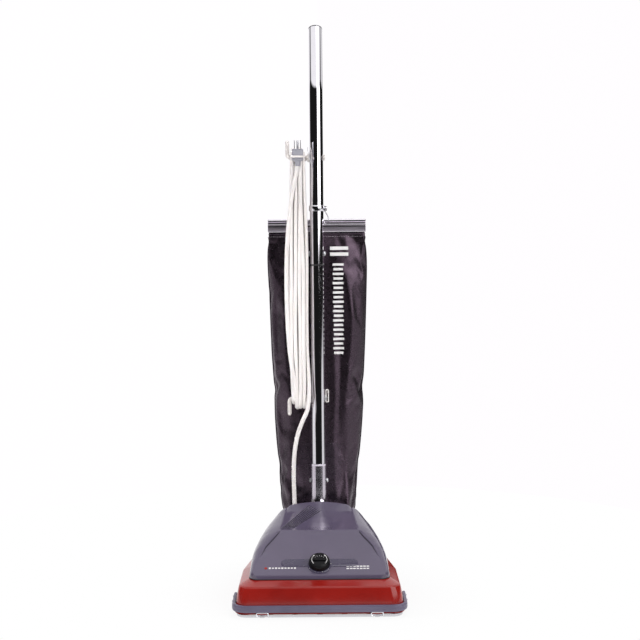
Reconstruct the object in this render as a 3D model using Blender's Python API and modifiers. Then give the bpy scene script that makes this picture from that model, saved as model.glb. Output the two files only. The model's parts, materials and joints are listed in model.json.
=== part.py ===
"""Upright vacuum cleaner with a shake-out cloth bag, as separate named pieces.

Metres, +Z up. The front of the base faces -Y, the user stands on the +Y side,
and the cord is wound on the -X side of the handle.
The origin is on the floor, below the middle of the bounding box.
"""

import math

import bmesh
import bpy
from mathutils import Vector

# Driving dimensions.
GAP = 0.0003                # left between neighbouring pieces
FRONT = -0.190              # the bumper's front
HALF_WIDTH = 0.1655         # the base housing, at its foot
WIDE = 0.262                # depth at which the base turns in towards its tail
NARROW = 0.284              # depth at which it has narrowed to the tail
GUARD_DEPTH = 0.105         # how far back the soft strip runs
TAIL_HALF_WIDTH = 0.104
BASE_DEPTH = 0.338
FOOT_Z = 0.0092             # lower rim of the base housing
CREASE_Z = 0.058            # where the nozzle's front meets its sloping top
DECK_Z = 0.069
SHEET = 0.003               # wall of the base housing
GUARD_HALF_WIDTH = 0.172
GUARD_HEIGHT = 0.0145
HOOD_WALL = 0.0025
PLATE_HALF_WIDTH = 0.1625
PLATE_LOW = 0.0025
CLIP_X = 0.112
CLIP_Y = FRONT + 0.0032
CLIP_Z = 0.0053
BRUSH_Y = FRONT + 0.048
BRUSH_Z = 0.0265
BRUSH_HALF = 0.136
CORE_R = 0.0175
GROOVE_R = 0.0145
BRISTLE_R = 0.0248
SLOTS = 6                   # openings in the bottom plate, with a rib between each two
SLOT_PITCH = 0.290 / SLOTS
SHAFT_R = 0.004
BEARING_R = 0.0108          # motor bearings
MOTOR_Z = 0.085
MOTOR_R = 0.047
MOTOR_FRONT = FRONT + 0.163
MOTOR_REAR = FRONT + 0.250
FAN_R = 0.041
FAN_FRONT = FRONT + 0.128
PULLEY_Y = FRONT + 0.094
PULLEY_R = 0.0065
BELT_THICK = 0.002
CARRIAGE_Y = FRONT + 0.175
CARRIAGE_Z = 0.038
ARM_X = 0.086               # the carriage's arms
LEVER_X = 0.0855
LEVER_Y = FRONT + 0.084
FRONT_WHEEL_Y = FRONT + 0.112
FRONT_WHEEL_R = 0.014
REAR_WHEEL_Y = FRONT + 0.318
REAR_WHEEL_R = 0.025
PIN_HOLE_R = 0.0028
BOLT_HOLE_R = 0.0032
PIVOT_HOLE_R = 0.0048
PEDAL_X = 0.062
PEDAL_Y = FRONT + 0.3200    # the pedals' hinges
PEDAL_Z = 0.0700
KNOB_Y = FRONT + 0.060
KNOB_Z = 0.0935
PANEL_SLOPE = math.radians(32)
OUTLET_Y = FRONT + 0.303
DUCT_R = 0.0135
OUTLET_R = 0.020
PIVOT_Y = FRONT + 0.262
PIVOT_Z = 0.086
PIVOT_X = 0.078
TRUNNION_X = 0.0665
LEAN = math.radians(3)      # the locked handle leans back by this much
TUBE_R = 0.0143
TUBE_WALL = 0.0012
SOCKET_R = 0.0159
SOCKET_LOW = 0.104          # heights from here on are measured along the handle, from its pivot
SOCKET_HIGH = 0.170
LOWER_BOLT = 0.134
RING = 0.587
UPPER_BOLT = 0.612
CLAMP = 0.672
CLAMP_LENGTH = 0.207
BEAD_UP = 0.0100            # the clamp's bead above the clamp's own height
BEND = 0.945
GRIP_LEAN = math.radians(22)
GRIP_LENGTH = 0.129
HOOK_LOW = 0.308
HOOK_HIGH = 0.813
HOOK_X = -0.0605
HOOK_R = 0.0042
HOOK_FINGER = 0.0360
CORD_R = 0.0044
HANK_X = (-0.0545, -0.0187)
HANK_THICK = 0.0220         # from a hook's axis to the outside of the winding
CORD_X = -0.0515
CORD_Y = FRONT + 0.2485
CORD_EXIT_Z = 0.160
# The cord's route from the strain relief up to the lower hook, world x, y, z.
CORD_ROUTE = (
    (-0.0515, 0.0585, 0.1603), (-0.0515, 0.0585, 0.175), (-0.0518, 0.0586, 0.195),
    (-0.0523, 0.0588, 0.220), (-0.0524, 0.0592, 0.250), (-0.0516, 0.0598, 0.280),
    (-0.0490, 0.0606, 0.305), (-0.0445, 0.0614, 0.328), (-0.0385, 0.0622, 0.349),
    (-0.0320, 0.0630, 0.367), (-0.0268, 0.0636, 0.3805),
)


# ---------------------------------------------------------------- tools
def clear_scene():
    for item in list(bpy.data.objects):
        bpy.data.objects.remove(item, do_unlink=True)


def new_collection(name):
    made = bpy.data.collections.new(name)
    bpy.context.scene.collection.children.link(made)
    return made


def material(name, colour, roughness, metallic=0.0):
    made = bpy.data.materials.new(name)
    made.use_nodes = True
    shader = made.node_tree.nodes["Principled BSDF"]
    shader.inputs["Base Color"].default_value = (*colour, 1.0)
    shader.inputs["Roughness"].default_value = roughness
    shader.inputs["Metallic"].default_value = metallic
    return made


def place(name, mesh, finish, at=(0, 0, 0), parent=None, turn=None):
    """Make the object, in the machine's collection, at its place under its parent."""
    made = bpy.data.objects.new(name, mesh)
    PARTS.objects.link(made)
    if finish:
        made.data.materials.append(finish)
    made.parent = parent
    made.location = at
    if turn is not None:
        made.rotation_euler = turn
    return made


def mesh_from(work, name, smooth_angle=35):
    bmesh.ops.recalc_face_normals(work, faces=work.faces)
    made = bpy.data.meshes.new(name)
    work.to_mesh(made)
    work.free()
    made.shade_smooth()
    made.set_sharp_from_angle(angle=math.radians(smooth_angle))
    return made


def block(name, size, at, finish=None, parent=None, bevel=0.0, turn=None):
    work = bmesh.new()
    bmesh.ops.create_cube(work, size=1.0)
    bmesh.ops.scale(work, vec=size, verts=work.verts)
    made = place(name, mesh_from(work, name), finish, at, parent, turn)
    if bevel:
        add_bevel(made, bevel)
    return made


def add_bevel(made, width, segments=2):
    rounding = made.modifiers.new("Rounded edges", "BEVEL")
    rounding.width = width
    rounding.segments = segments
    rounding.limit_method = "ANGLE"


ALONG = {"x": (0, math.pi / 2, 0), "y": (-math.pi / 2, 0, 0), "z": (0, 0, 0)}


def rod(name, radius, length, axis, at, finish=None, parent=None, sides=14):
    """A cylinder centred on its place."""
    work = bmesh.new()
    bmesh.ops.create_cone(work, cap_ends=True, segments=sides, radius1=radius,
                          radius2=radius, depth=length)
    return place(name, mesh_from(work, name), finish, at, parent, ALONG[axis])


def turned(name, profile, axis, at, finish, parent=None, ring=False, steps=16, turn=None):
    """A profile of (radius, height) turned round an axis, its outer side listed from the top down."""
    mesh = bpy.data.meshes.new(name)
    edges = [(i, i + 1) for i in range(len(profile) - 1)]
    if ring:
        edges.append((len(profile) - 1, 0))
    mesh.from_pydata([(radius, 0, height) for radius, height in profile], edges, [])
    made = place(name, mesh, finish, at, parent, turn or ALONG[axis])
    screw = made.modifiers.new("Turned", "SCREW")
    screw.steps = screw.render_steps = steps
    screw.use_merge_vertices = True
    screw.merge_threshold = 0.00001
    screw.use_smooth_shade = False
    return made


def tube_profile(outer, inner, low, high):
    return [(outer, high), (outer, low), (inner, low), (inner, high)]


def poly_curve(name, points, radius, capped=True, cyclic=False, sides=2):
    data = bpy.data.curves.new(name, "CURVE")
    data.dimensions = "3D"
    spline = data.splines.new("POLY")
    spline.points.add(len(points) - 1)
    for spot, point in zip(spline.points, points):
        spot.co = (*point, 1.0)
    spline.use_cyclic_u = cyclic
    data.bevel_depth = radius
    data.bevel_resolution = sides
    data.use_fill_caps = capped and not cyclic
    return data


def wire(name, points, radius, finish, parent=None, at=(0, 0, 0), cyclic=False, sides=2):
    return place(name, poly_curve(name, points, radius, True, cyclic, sides), finish, at, parent)


def as_mesh(curved):
    """The same object as a mesh, its loose caps welded, so that it can take a Boolean."""
    bpy.context.view_layer.update()
    graph = bpy.context.evaluated_depsgraph_get()
    mesh = bpy.data.meshes.new_from_object(curved.evaluated_get(graph))
    work = bmesh.new()
    work.from_mesh(mesh)
    bmesh.ops.remove_doubles(work, verts=work.verts, dist=0.00001)
    bmesh.ops.recalc_face_normals(work, faces=work.faces)
    work.to_mesh(mesh)
    work.free()
    name, parent = curved.name, curved.parent
    at, turn = curved.location.copy(), curved.rotation_euler.copy()
    bpy.data.objects.remove(curved, do_unlink=True)
    made = place(name, mesh, None, at, parent, turn)
    mesh.shade_smooth()
    return made


def outline_solid(name, outlines, thickness, at, finish=None, parent=None, turn=None):
    """A flat outline (and its holes) extruded to a thickness, centred on its plane."""
    data = bpy.data.curves.new(name, "CURVE")
    data.dimensions = "2D"
    data.fill_mode = "BOTH"
    data.extrude = thickness / 2
    for outline in outlines:
        spline = data.splines.new("POLY")
        spline.points.add(len(outline) - 1)
        for spot, (a, b) in zip(spline.points, outline):
            spot.co = (a, b, 0.0, 1.0)
        spline.use_cyclic_u = True
    return place(name, data, finish, at, parent, turn)


def rounded(corners, steps=4):
    """A closed outline from corners (a, b, radius)."""
    points = []
    for i, (a, b, radius) in enumerate(corners):
        corner = Vector((a, b))
        before = (Vector(corners[i - 1][:2]) - corner).normalized()
        after = (Vector(corners[(i + 1) % len(corners)][:2]) - corner).normalized()
        half = before.angle(after) / 2
        centre = corner + (before + after).normalized() * radius / math.sin(half)
        start = corner + before * radius / math.tan(half) - centre
        end = corner + after * radius / math.tan(half) - centre
        for k in range(steps + 1):
            spoke = start.lerp(end, k / steps).normalized() * radius
            points.append(tuple(centre + spoke))
    return points


def rounded_box(half_a, half_b, radius, centre=(0, 0), steps=4):
    a, b = centre
    return rounded([(a - half_a, b - half_b, radius), (a + half_a, b - half_b, radius),
                    (a + half_a, b + half_b, radius), (a - half_a, b + half_b, radius)], steps)


def loft(name, rings, finish, closed_rings=True, cap_start=False, cap_end=False,
         at=(0, 0, 0), parent=None, smooth_angle=35):
    """Faces between neighbouring rings of equal counts of points."""
    work = bmesh.new()
    rows = [[work.verts.new(point) for point in ring] for ring in rings]
    count = len(rows[0])
    for low, high in zip(rows, rows[1:]):
        for i in range(count if closed_rings else count - 1):
            j = (i + 1) % count
            work.faces.new((low[i], low[j], high[j], high[i]))
    if cap_start:
        work.faces.new(rows[0])
    if cap_end:
        work.faces.new(rows[-1])
    return place(name, mesh_from(work, name, smooth_angle), finish, at, parent)


def thicken(made, wall):
    shell = made.modifiers.new("Wall", "SOLIDIFY")
    shell.thickness = wall
    shell.offset = -1
    shell.use_even_offset = True
    return made


def boolean(made, tool, operation):
    """Cut or join with a tool, which moves to the helpers."""
    PARTS.objects.unlink(tool)
    CUTTERS.objects.link(tool)
    tool.hide_render = True
    tool.display_type = "WIRE"
    step = made.modifiers.new(operation.title() + " " + tool.name, "BOOLEAN")
    step.operation = operation
    step.object = tool
    return made


def cut(made, *tools):
    for tool in tools:
        boolean(made, tool, "DIFFERENCE")


def join(made, *tools):
    for tool in tools:
        boolean(made, tool, "UNION")


# ---------------------------------------------------------------- base
def base_outline(inset):
    """The base in plan, moved in by inset at the nozzle and by less along the tail."""
    side, tail = HALF_WIDTH - inset, TAIL_HALF_WIDTH - 0.3 * inset
    front, rear = FRONT + 0.0058 + inset, FRONT + BASE_DEPTH - 0.3 * inset
    half = [(side, front, 0.024), (side - 0.003, FRONT + 0.150, 0.080),
            (side - 0.020, FRONT + WIDE - 0.5 * inset, 0.020),
            (tail, FRONT + NARROW - 0.5 * inset, 0.012), (tail, rear, 0.018)]
    return rounded(half + [(-x, y, radius) for x, y, radius in reversed(half)], 3)


def base_housing(red):
    levels = [(FOOT_Z, 0.0), (CREASE_Z, 0.0065), (0.0618, 0.0098), (DECK_Z, 0.027)]
    rings = [[(x, y, z) for x, y in base_outline(inset)] for z, inset in levels]
    made = loft("base_housing", rings, red, cap_end=True)
    thicken(made, SHEET)
    for side in (-1, 1):
        join(made, block(f"carriage_lug_{side}", (0.010, 0.020, 0.038),
                         (side * 0.097, CARRIAGE_Y, 0.0495)))
        join(made, block(f"trunnion_{side}", (0.009, 0.024, 0.034),
                         (side * TRUNNION_X, PIVOT_Y, 0.0835)))
    cut(made, block("motor_opening", (0.106, 0.200, 0.02), (0, FRONT + 0.162, DECK_Z)))
    cut(made, block("lever_slot", (0.012, 0.026, 0.02), (LEVER_X - 0.0005, LEVER_Y, DECK_Z)))
    cut(made, rod("outlet_opening", DUCT_R + 0.0012, 0.03, "z", (0, OUTLET_Y, DECK_Z)))
    cut(made, rod("rear_axle_hole", 0.0045, 0.3, "x", (0, REAR_WHEEL_Y, REAR_WHEEL_R)))
    cut(made, rod("carriage_pin_hole", PIN_HOLE_R, 0.24, "x", (0, CARRIAGE_Y, CARRIAGE_Z)))
    cut(made, rod("pivot_pin_hole", PIVOT_HOLE_R, 0.2, "x", (0, PIVOT_Y, PIVOT_Z)))
    for side in (-1, 1):
        cut(made, block(f"pedal_notch_{side}", (0.030, 0.030, 0.02),
                        (side * PEDAL_X, PEDAL_Y + 0.010, DECK_Z)))
    join(made, block("spring_seat", (0.0120, 0.0160, 0.0030), (-PEDAL_X, PEDAL_Y + 0.0075, 0.0555)))
    return made


def bumper_guard(grey):
    """A soft strip round the nozzle, from one side to the other."""
    outer, inner = [], []
    rear = FRONT + GUARD_DEPTH
    for points, width, front, radius in ((outer, GUARD_HALF_WIDTH, FRONT, 0.028),
                                         (inner, HALF_WIDTH + GAP, FRONT + 0.0055, 0.0235)):
        corners = [(-width, rear, 0.001), (-width, front, radius), (width, front, radius),
                   (width, rear, 0.001)]
        points += rounded(corners, 5)[6:18]
    points = [(-GUARD_HALF_WIDTH, rear)] + outer
    points += [(GUARD_HALF_WIDTH, rear), (HALF_WIDTH + GAP, rear)]
    points += inner[::-1] + [(-HALF_WIDTH - GAP, rear)]
    made = as_mesh(outline_solid("bumper_guard", [points], GUARD_HEIGHT, (0, 0, 0.0200)))
    made.data.materials.append(grey)
    add_bevel(made, 0.002, 1)
    return made


def plate_outline(inset):
    half = [(PLATE_HALF_WIDTH - inset, FRONT + 0.0042 + inset, 0.018),
            (PLATE_HALF_WIDTH - inset, FRONT + 0.088 - inset, 0.008)]
    return rounded(half + [(-x, y, radius) for x, y, radius in reversed(half)], 3)


def bottom_plate(steel):
    levels = [(0.0082, 0.0), (0.0045, 0.0), (PLATE_LOW, 0.002)]
    rings = [[(x, y, z) for x, y in plate_outline(inset)] for z, inset in levels]
    made = loft("bottom_plate", rings, steel, cap_end=True)
    thicken(made, 0.0012)
    for k in range(SLOTS):
        x = (k - (SLOTS - 1) / 2) * SLOT_PITCH
        cut(made, block(f"plate_slot_{k}", (SLOT_PITCH - 0.006, 0.052, 0.01),
                        (x, BRUSH_Y, PLATE_LOW)))
    for side in (-1, 1):
        at = (side * CLIP_X, CLIP_Y, CLIP_Z)
        join(made, block(f"clip_knuckle_{side}", (0.009, 0.0044, 0.0046), at))
        cut(made, rod(f"clip_hole_{side}", 0.0013, 0.02, "x", at, sides=12))
    return made


def plate_clip(name, side, steel):
    """A wire loop that turns in the plate's knuckle and hooks over the housing's rim."""
    loop = rounded_box(0.0115, 0.0033, 0.0024, (0, 0.0033), 3)
    points = [(x, 0, z) for x, z in loop]
    return wire(name, points, 0.0009, steel, at=(side * CLIP_X, CLIP_Y, CLIP_Z),
                cyclic=True, sides=1)


def brush_core(wood):
    bore = SHAFT_R + 0.0004
    flange = CORE_R + 0.0012
    half = [(flange, 0.0115), (flange, 0.0100), (GROOVE_R, 0.0095)]
    top = [(bore, BRUSH_HALF), (CORE_R, BRUSH_HALF), (CORE_R, 0.0115)] + half
    low = [(radius, -height) for radius, height in reversed(top)]
    return turned("brush_core", top + low, "x", (0, BRUSH_Y, BRUSH_Z), wood, ring=True)


def bristle_stations():
    """Distance along the brush and tip radius: full between the plate's ribs, short beside each rib."""
    clear, short = 0.0048, BRISTLE_R - 0.0042
    ribs = [k * SLOT_PITCH for k in range(1, SLOTS // 2)]
    starts = [0.0145] + [rib + clear for rib in ribs]
    ends = [rib - clear for rib in ribs] + [BRUSH_HALF - 0.0020]
    stations = []
    for start, end in zip(starts, ends):
        if stations:
            stations.append((start - 0.0002, short))
        stations += [(start + (end - start) * k / 5, BRISTLE_R) for k in range(6)]
        if end != ends[-1]:
            stations.append((end + 0.0002, short))
    return stations


def bristles(name, side, phase, black):
    """A strip of bristles that winds round the core from the belt groove to the end."""
    rings = []
    for along, tip in bristle_stations():
        angle = phase + 1.5 * math.pi * along / BRUSH_HALF
        ring = []
        for radius, spread in ((CORE_R + GAP, -0.13), (tip, -0.10), (tip, 0.10), (CORE_R + GAP, 0.13)):
            turn = angle + spread
            ring.append((side * along, radius * math.cos(turn), radius * math.sin(turn)))
        rings.append(ring)
    return loft(name, rings, black, cap_start=True, cap_end=True, at=(0, BRUSH_Y, BRUSH_Z))


def brush_bearing(name, side, black):
    at = (side * (BRUSH_HALF + 0.0065), BRUSH_Y, BRUSH_Z)
    made = block(name, (0.012, 0.034, 0.034), at, black, bevel=0.002)
    cut(made, rod(f"{name}_bore", SHAFT_R + 0.0003, 0.02, "x", at))
    return made


def drive_belt(rubber):
    """A flat belt with a quarter twist, from the motor pulley down to the brush."""
    reach = PULLEY_R + 0.0006 + BELT_THICK / 2
    wrap = GROOVE_R + GAP + BELT_THICK / 2
    motor, brush = Vector((0, PULLEY_Y, MOTOR_Z)), Vector((0, BRUSH_Y, BRUSH_Z))
    up = motor - brush
    towards, hug = math.atan2(up.z, up.y), math.acos(wrap / up.length)
    lean = math.asin(reach / up.length)
    path = []
    for k in range(9):
        turn = -lean + (math.pi + 2 * lean) * k / 8
        out = Vector((math.cos(turn), 0, math.sin(turn)))
        path.append((motor + reach * out, out, Vector((0, 1, 0))))
    for k in range(11):
        turn = towards + hug + 2 * (math.pi - hug) * k / 10
        out = Vector((0, math.cos(turn), math.sin(turn)))
        path.append((brush + wrap * out, out, Vector((-1, 0, 0))))
    stations = path[:9] + between(path[8], path[9]) + path[9:] + between(path[-1], path[0])
    rings = []
    for centre, out, across in stations:
        out, across = out * BELT_THICK / 2, across * 0.0038
        rings.append([centre + out + across, centre + out - across,
                      centre - out - across, centre - out + across])
    return closed_loft("drive_belt", rings, rubber)


def between(start, end, steps=6):
    """Belt stations along a straight run, the belt turning from one pulley's plane to the other's."""
    stations = []
    for k in range(1, steps):
        t = k / steps
        run = (end[0] - start[0]).normalized()
        across = start[2].lerp(end[2], t)
        across = (across - run * across.dot(run)).normalized()
        out = start[1].lerp(end[1], t)
        out = (out - run * out.dot(run) - across * out.dot(across)).normalized()
        stations.append((start[0].lerp(end[0], t), out, across))
    return stations


def closed_loft(name, rings, finish):
    work = bmesh.new()
    rows = [[work.verts.new(point) for point in ring] for ring in rings]
    for i, low in enumerate(rows):
        high = rows[(i + 1) % len(rows)]
        for k in range(len(low)):
            j = (k + 1) % len(low)
            work.faces.new((low[k], low[j], high[j], high[k]))
    return place(name, mesh_from(work, name), finish)


# ---------------------------------------------------------------- hood
# Depth behind the bumper, half width of the top, height on the centre line,
# height at the top's edge, half width of the foot.
HOOD_SECTIONS = (
    (0.0365, 0.1300, 0.0780, 0.0775, 0.1375),
    (0.0420, 0.1290, 0.0825, 0.0815, 0.1380),
    (0.0700, 0.1230, 0.1010, 0.0985, 0.1380),
    (0.1000, 0.1075, 0.1195, 0.1165, 0.1375),
    (0.1250, 0.0880, 0.1350, 0.1335, 0.1360),
    (0.1400, 0.0790, 0.1440, 0.1430, 0.1345),
    (0.1460, 0.0780, 0.1425, 0.1455, 0.1335),
    (0.1650, 0.0760, 0.1405, 0.1500, 0.1310),
    (0.1850, 0.0735, 0.1415, 0.1540, 0.1280),
    (0.2050, 0.0715, 0.1460, 0.1580, 0.1240),
    (0.2220, 0.0695, 0.1570, 0.1620, 0.1190),
    (0.2340, 0.0680, 0.1755, 0.1655, 0.1150),
    (0.2390, 0.0680, 0.1785, 0.1660, 0.1130),
)
HOOD_LOW = DECK_Z + 0.0014   # the wall leans, so its inner edge hangs lower


def hood_section(depth, top_half, middle, edge, foot_half, ceiling=1.0):
    """Half an arch from the centre line to the foot, mirrored."""
    half = []
    for k in range(5):
        share = k / 4
        half.append((top_half * share, middle + (edge - middle) * share ** 2))
    for k in range(1, 6):
        turn = math.pi / 2 * k / 5
        half.append((top_half + (foot_half - top_half) * math.sin(turn),
                     HOOD_LOW + (edge - HOOD_LOW) * math.cos(turn)))
    arch = [(-x, z) for x, z in reversed(half[1:])] + half
    return [(x, FRONT + depth, min(z, ceiling)) for x, z in arch]


def hood(grey):
    first = [(x, FRONT + 0.0345, HOOD_LOW) for x, _, _ in hood_section(*HOOD_SECTIONS[0])]
    sections = [hood_section(*row) for row in HOOD_SECTIONS]
    last = hood_section(0.2412, *HOOD_SECTIONS[-1][1:], ceiling=0.141)
    made = loft("hood", [first] + sections + [last], grey, closed_rings=False)
    thicken(made, HOOD_WALL)
    hole = rod("knob_hole", 0.0100, 0.03, "z", (0, KNOB_Y, KNOB_Z))
    hole.rotation_euler = (PANEL_SLOPE, 0, 0)
    cut(made, hole)
    return made


def knob_empty():
    spot = bpy.data.objects.new("knob_axis", None)
    PARTS.objects.link(spot)
    spot.location = (0, KNOB_Y, KNOB_Z)
    spot.rotation_euler = (PANEL_SLOPE, 0, 0)
    return spot


def height_knob(axis, black):
    """Height zero is where the knob's axis meets the hood's outer face."""
    profile = [(0, 0.0135), (0.0170, 0.0135), (0.0200, 0.0118), (0.0215, 0.0050), (0.0215, 0.0042),
               (0.0085, 0.0042), (0.0085, -0.0045), (0.0047, -0.0045), (0.0047, 0.0100), (0, 0.0100)]
    return turned("height_knob", profile, "z", (0, 0, 0), black, axis, turn=(0, 0, 0))


def height_plunger(axis, steel):
    return rod("height_plunger", 0.0042, 0.0190, "z", (0, 0, 0), steel, axis)


# ---------------------------------------------------------------- wheels
def wheel_carriage(steel):
    made = block("wheel_carriage", (0.176, 0.008, 0.010), (0, FRONT + 0.099, 0.036), steel)
    for side in (-1, 1):
        join(made, block(f"carriage_arm_{side}", (0.004, 0.086, 0.0122),
                         (side * ARM_X, FRONT + 0.1395, 0.0370)))
        join(made, block(f"axle_lug_{side}", (0.0042, 0.0100, 0.0330),
                         (side * ARM_X, FRONT_WHEEL_Y, 0.0258)))
        cut(made, rod(f"carriage_bore_{side}", PIN_HOLE_R, 0.012, "x",
                      (side * ARM_X, CARRIAGE_Y, CARRIAGE_Z)))
        cut(made, rod(f"axle_bore_{side}", PIN_HOLE_R, 0.012, "x",
                      (side * ARM_X, FRONT_WHEEL_Y, FRONT_WHEEL_R)))
    join(made, block("lever_riser", (0.0044, 0.0100, 0.0500), (LEVER_X, LEVER_Y, 0.0557)))
    join(made, block("lever_foot", (0.0044, 0.0230, 0.0080), (LEVER_X, LEVER_Y + 0.0065, 0.0360)))
    join(made, block("lever_arm", (0.0470, 0.0330, 0.0030), (0.0642, FRONT + 0.0725, 0.0811)))
    join(made, block("lever_tip", (0.0560, 0.0160, 0.0032), (0.0180, FRONT + 0.0640, 0.0811)))
    return made


def carriage_pin(name, side, steel):
    return rod(name, 0.0025, 0.0200, "x", (side * 0.0930, CARRIAGE_Y, CARRIAGE_Z),
               steel)


def wheel(name, radius, width, bore, at, rubber):
    lip = 0.12 * radius
    profile = [(bore, width / 2), (radius - lip, width / 2), (radius, width / 2 - lip),
               (radius, lip - width / 2), (radius - lip, -width / 2), (bore, -width / 2)]
    return turned(name, profile, "x", at, rubber, ring=True, steps=18)


# ---------------------------------------------------------------- motor
def armature(steel):
    """Shaft, rotor core and commutator, lying along Y. Heights are measured towards the rear."""
    steps = [(0.0885, PULLEY_R), (0.1005, SHAFT_R), (0.178, 0.0215), (0.222, SHAFT_R),
             (0.228, 0.0120), (0.240, SHAFT_R)]
    profile = [(0, FRONT + 0.2560)]
    rear = FRONT + 0.2560
    for start, radius in reversed(steps):
        profile += [(radius, rear), (radius, FRONT + start)]
        rear = FRONT + start
    profile.append((0, rear))
    return turned("motor_armature", profile, "y", (0, 0, MOTOR_Z), steel, turn=(-math.pi / 2, 0, 0))


def impeller(grey):
    """A back plate with a hub and straight vanes."""
    bore = SHAFT_R + GAP
    rear = FAN_FRONT + 0.0250
    profile = [(bore, rear), (0.0350, rear), (0.0350, rear - 0.003), (0.0105, rear - 0.003),
               (0.0085, rear - 0.018), (bore, rear - 0.018)]
    made = turned("suction_fan", profile, "y", (0, 0, MOTOR_Z), grey, ring=True,
                  turn=(-math.pi / 2, 0, 0))
    for k in range(6):
        angle = math.pi * k / 3
        at = (0.0215 * math.cos(angle), rear - 0.0095, MOTOR_Z + 0.0215 * math.sin(angle))
        vane = block(f"vane_{k}", (0.0250, 0.0150, 0.0022), at)
        vane.rotation_euler = (0, -angle, 0)
        join(made, vane)
    return made


def fan_housing(black):
    front, rear = FAN_FRONT, MOTOR_FRONT - GAP
    inner = FAN_R - 0.0025
    profile = [(inner, rear), (FAN_R, rear), (FAN_R, front), (0.0160, front),
               (0.0160, front + 0.0025), (inner, front + 0.0025)]
    made = turned("fan_housing", profile, "y", (0, 0, MOTOR_Z), black, ring=True,
                  turn=(-math.pi / 2, 0, 0))
    cut(made, rod("fan_outlet", 0.0120, 0.02, "z", (0, FAN_FRONT + 0.018, MOTOR_Z - FAN_R)))
    return made


def motor_housing(black):
    inner = MOTOR_R - 0.003
    front, rear = MOTOR_FRONT, MOTOR_REAR
    profile = [(inner, rear), (MOTOR_R, rear), (MOTOR_R, front), (BEARING_R + GAP, front),
               (BEARING_R + GAP, front + 0.0080), (inner, front + 0.0080)]
    made = turned("motor_housing", profile, "y", (0, 0, MOTOR_Z), black, ring=True,
                  turn=(-math.pi / 2, 0, 0))
    join(made, block("cord_boss", (0.028, 0.010, 0.0250),
                     (-0.0475, MOTOR_REAR - 0.0051, 0.0990)))
    return made


def motor_cap(black):
    """Rear cover with the bearing's pocket."""
    front, rear = MOTOR_REAR + GAP, MOTOR_REAR + 0.0120
    profile = [(0, rear), (MOTOR_R - 0.006, rear), (MOTOR_R, rear - 0.005), (MOTOR_R, front),
               (BEARING_R + GAP, front), (BEARING_R + GAP, front + 0.0070), (0, front + 0.0070)]
    return turned("motor_cap", profile, "y", (0, 0, MOTOR_Z), black, turn=(-math.pi / 2, 0, 0))


def ring_on_shaft(name, outer, inner, front, length, finish):
    profile = tube_profile(outer, inner, front, front + length)
    return turned(name, profile, "y", (0, 0, MOTOR_Z), finish, ring=True,
                  turn=(-math.pi / 2, 0, 0))


def exhaust_duct(black):
    """Carries the dirty air from below the fan, under the motor and up to the bag."""
    points = [(0, FAN_FRONT + 0.020, 0.0250), (0, FAN_FRONT + 0.045, 0.0215),
              (0, FRONT + 0.230, 0.0205), (0, FRONT + 0.262, 0.0220), (0, FRONT + 0.280, 0.0300),
              (0, FRONT + 0.296, 0.0450), (0, OUTLET_Y, 0.0620), (0, OUTLET_Y, 0.0800)]
    curved = place("exhaust_duct", poly_curve("exhaust_duct", points, DUCT_R, capped=False), None)
    made = as_mesh(curved)
    made.data.materials.append(black)
    thicken(made, 0.0020)
    return made


def outlet_neck(black):
    wide, wall = OUTLET_R, 0.0025
    profile = [(wide, 0.1120), (wide, 0.0920), (DUCT_R + 0.001, 0.0803), (DUCT_R - 0.0015, 0.0803),
               (wide - wall, 0.0925), (wide - wall, 0.1120)]
    return turned("outlet_neck", profile, "z", (0, OUTLET_Y, 0), black, ring=True)


def bag_collar(rubber):
    bore = OUTLET_R + GAP
    profile = [(bore, 0.1110), (bore + 0.0040, 0.1110), (bore + 0.0055, 0.1085),
               (bore + 0.0040, 0.0970), (bore, 0.0970)]
    return turned("bag_collar", profile, "z", (0, OUTLET_Y, 0), rubber, ring=True)


def strain_relief(black):
    profile = [(0, CORD_EXIT_Z), (0.0052, CORD_EXIT_Z), (0.0055, 0.1560), (0.0067, 0.1200),
               (0.0067, 0.1120), (0, 0.1120)]
    return turned("strain_relief", profile, "z", (CORD_X, CORD_Y, 0), black, steps=16)


# ---------------------------------------------------------------- pedals
def foot_lever(name, side, finish):
    """A short pedal hinged across the notch at the back of the deck; its origin is on its hinge."""
    at = (side * PEDAL_X, PEDAL_Y, PEDAL_Z)
    made = rod(name, 0.0040, 0.0294, "x", (0, 0, 0), finish)
    made.location = at
    pad = block(f"{name}_pad", (0.0260, 0.0300, 0.0050), (at[0], at[1] + 0.0180, at[2] + 0.0015),
                bevel=0.0015)
    join(made, pad)
    return made


def pedal_spring(steel):
    """A small coil below the release pedal's pad."""
    turns, steps = 3, 8
    low, high, radius = 0.0580, 0.0680, 0.0035
    points = []
    for k in range(turns * steps + 1):
        angle = 2 * math.pi * k / steps
        points.append((radius * math.cos(angle), radius * math.sin(angle),
                       low + (high - low) * k / (turns * steps)))
    return wire("pedal_spring", points, 0.0005, steel, at=(-PEDAL_X, PEDAL_Y + 0.0080, 0),
                sides=0)


# ---------------------------------------------------------------- handle
def handle_empty():
    """Everything on the handle is placed in this frame: Z runs up the handle, Y backwards."""
    spot = bpy.data.objects.new("handle_pivot", None)
    PARTS.objects.link(spot)
    spot.location = (0, PIVOT_Y, PIVOT_Z)
    spot.rotation_euler = (-LEAN, 0, 0)
    return spot


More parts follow.
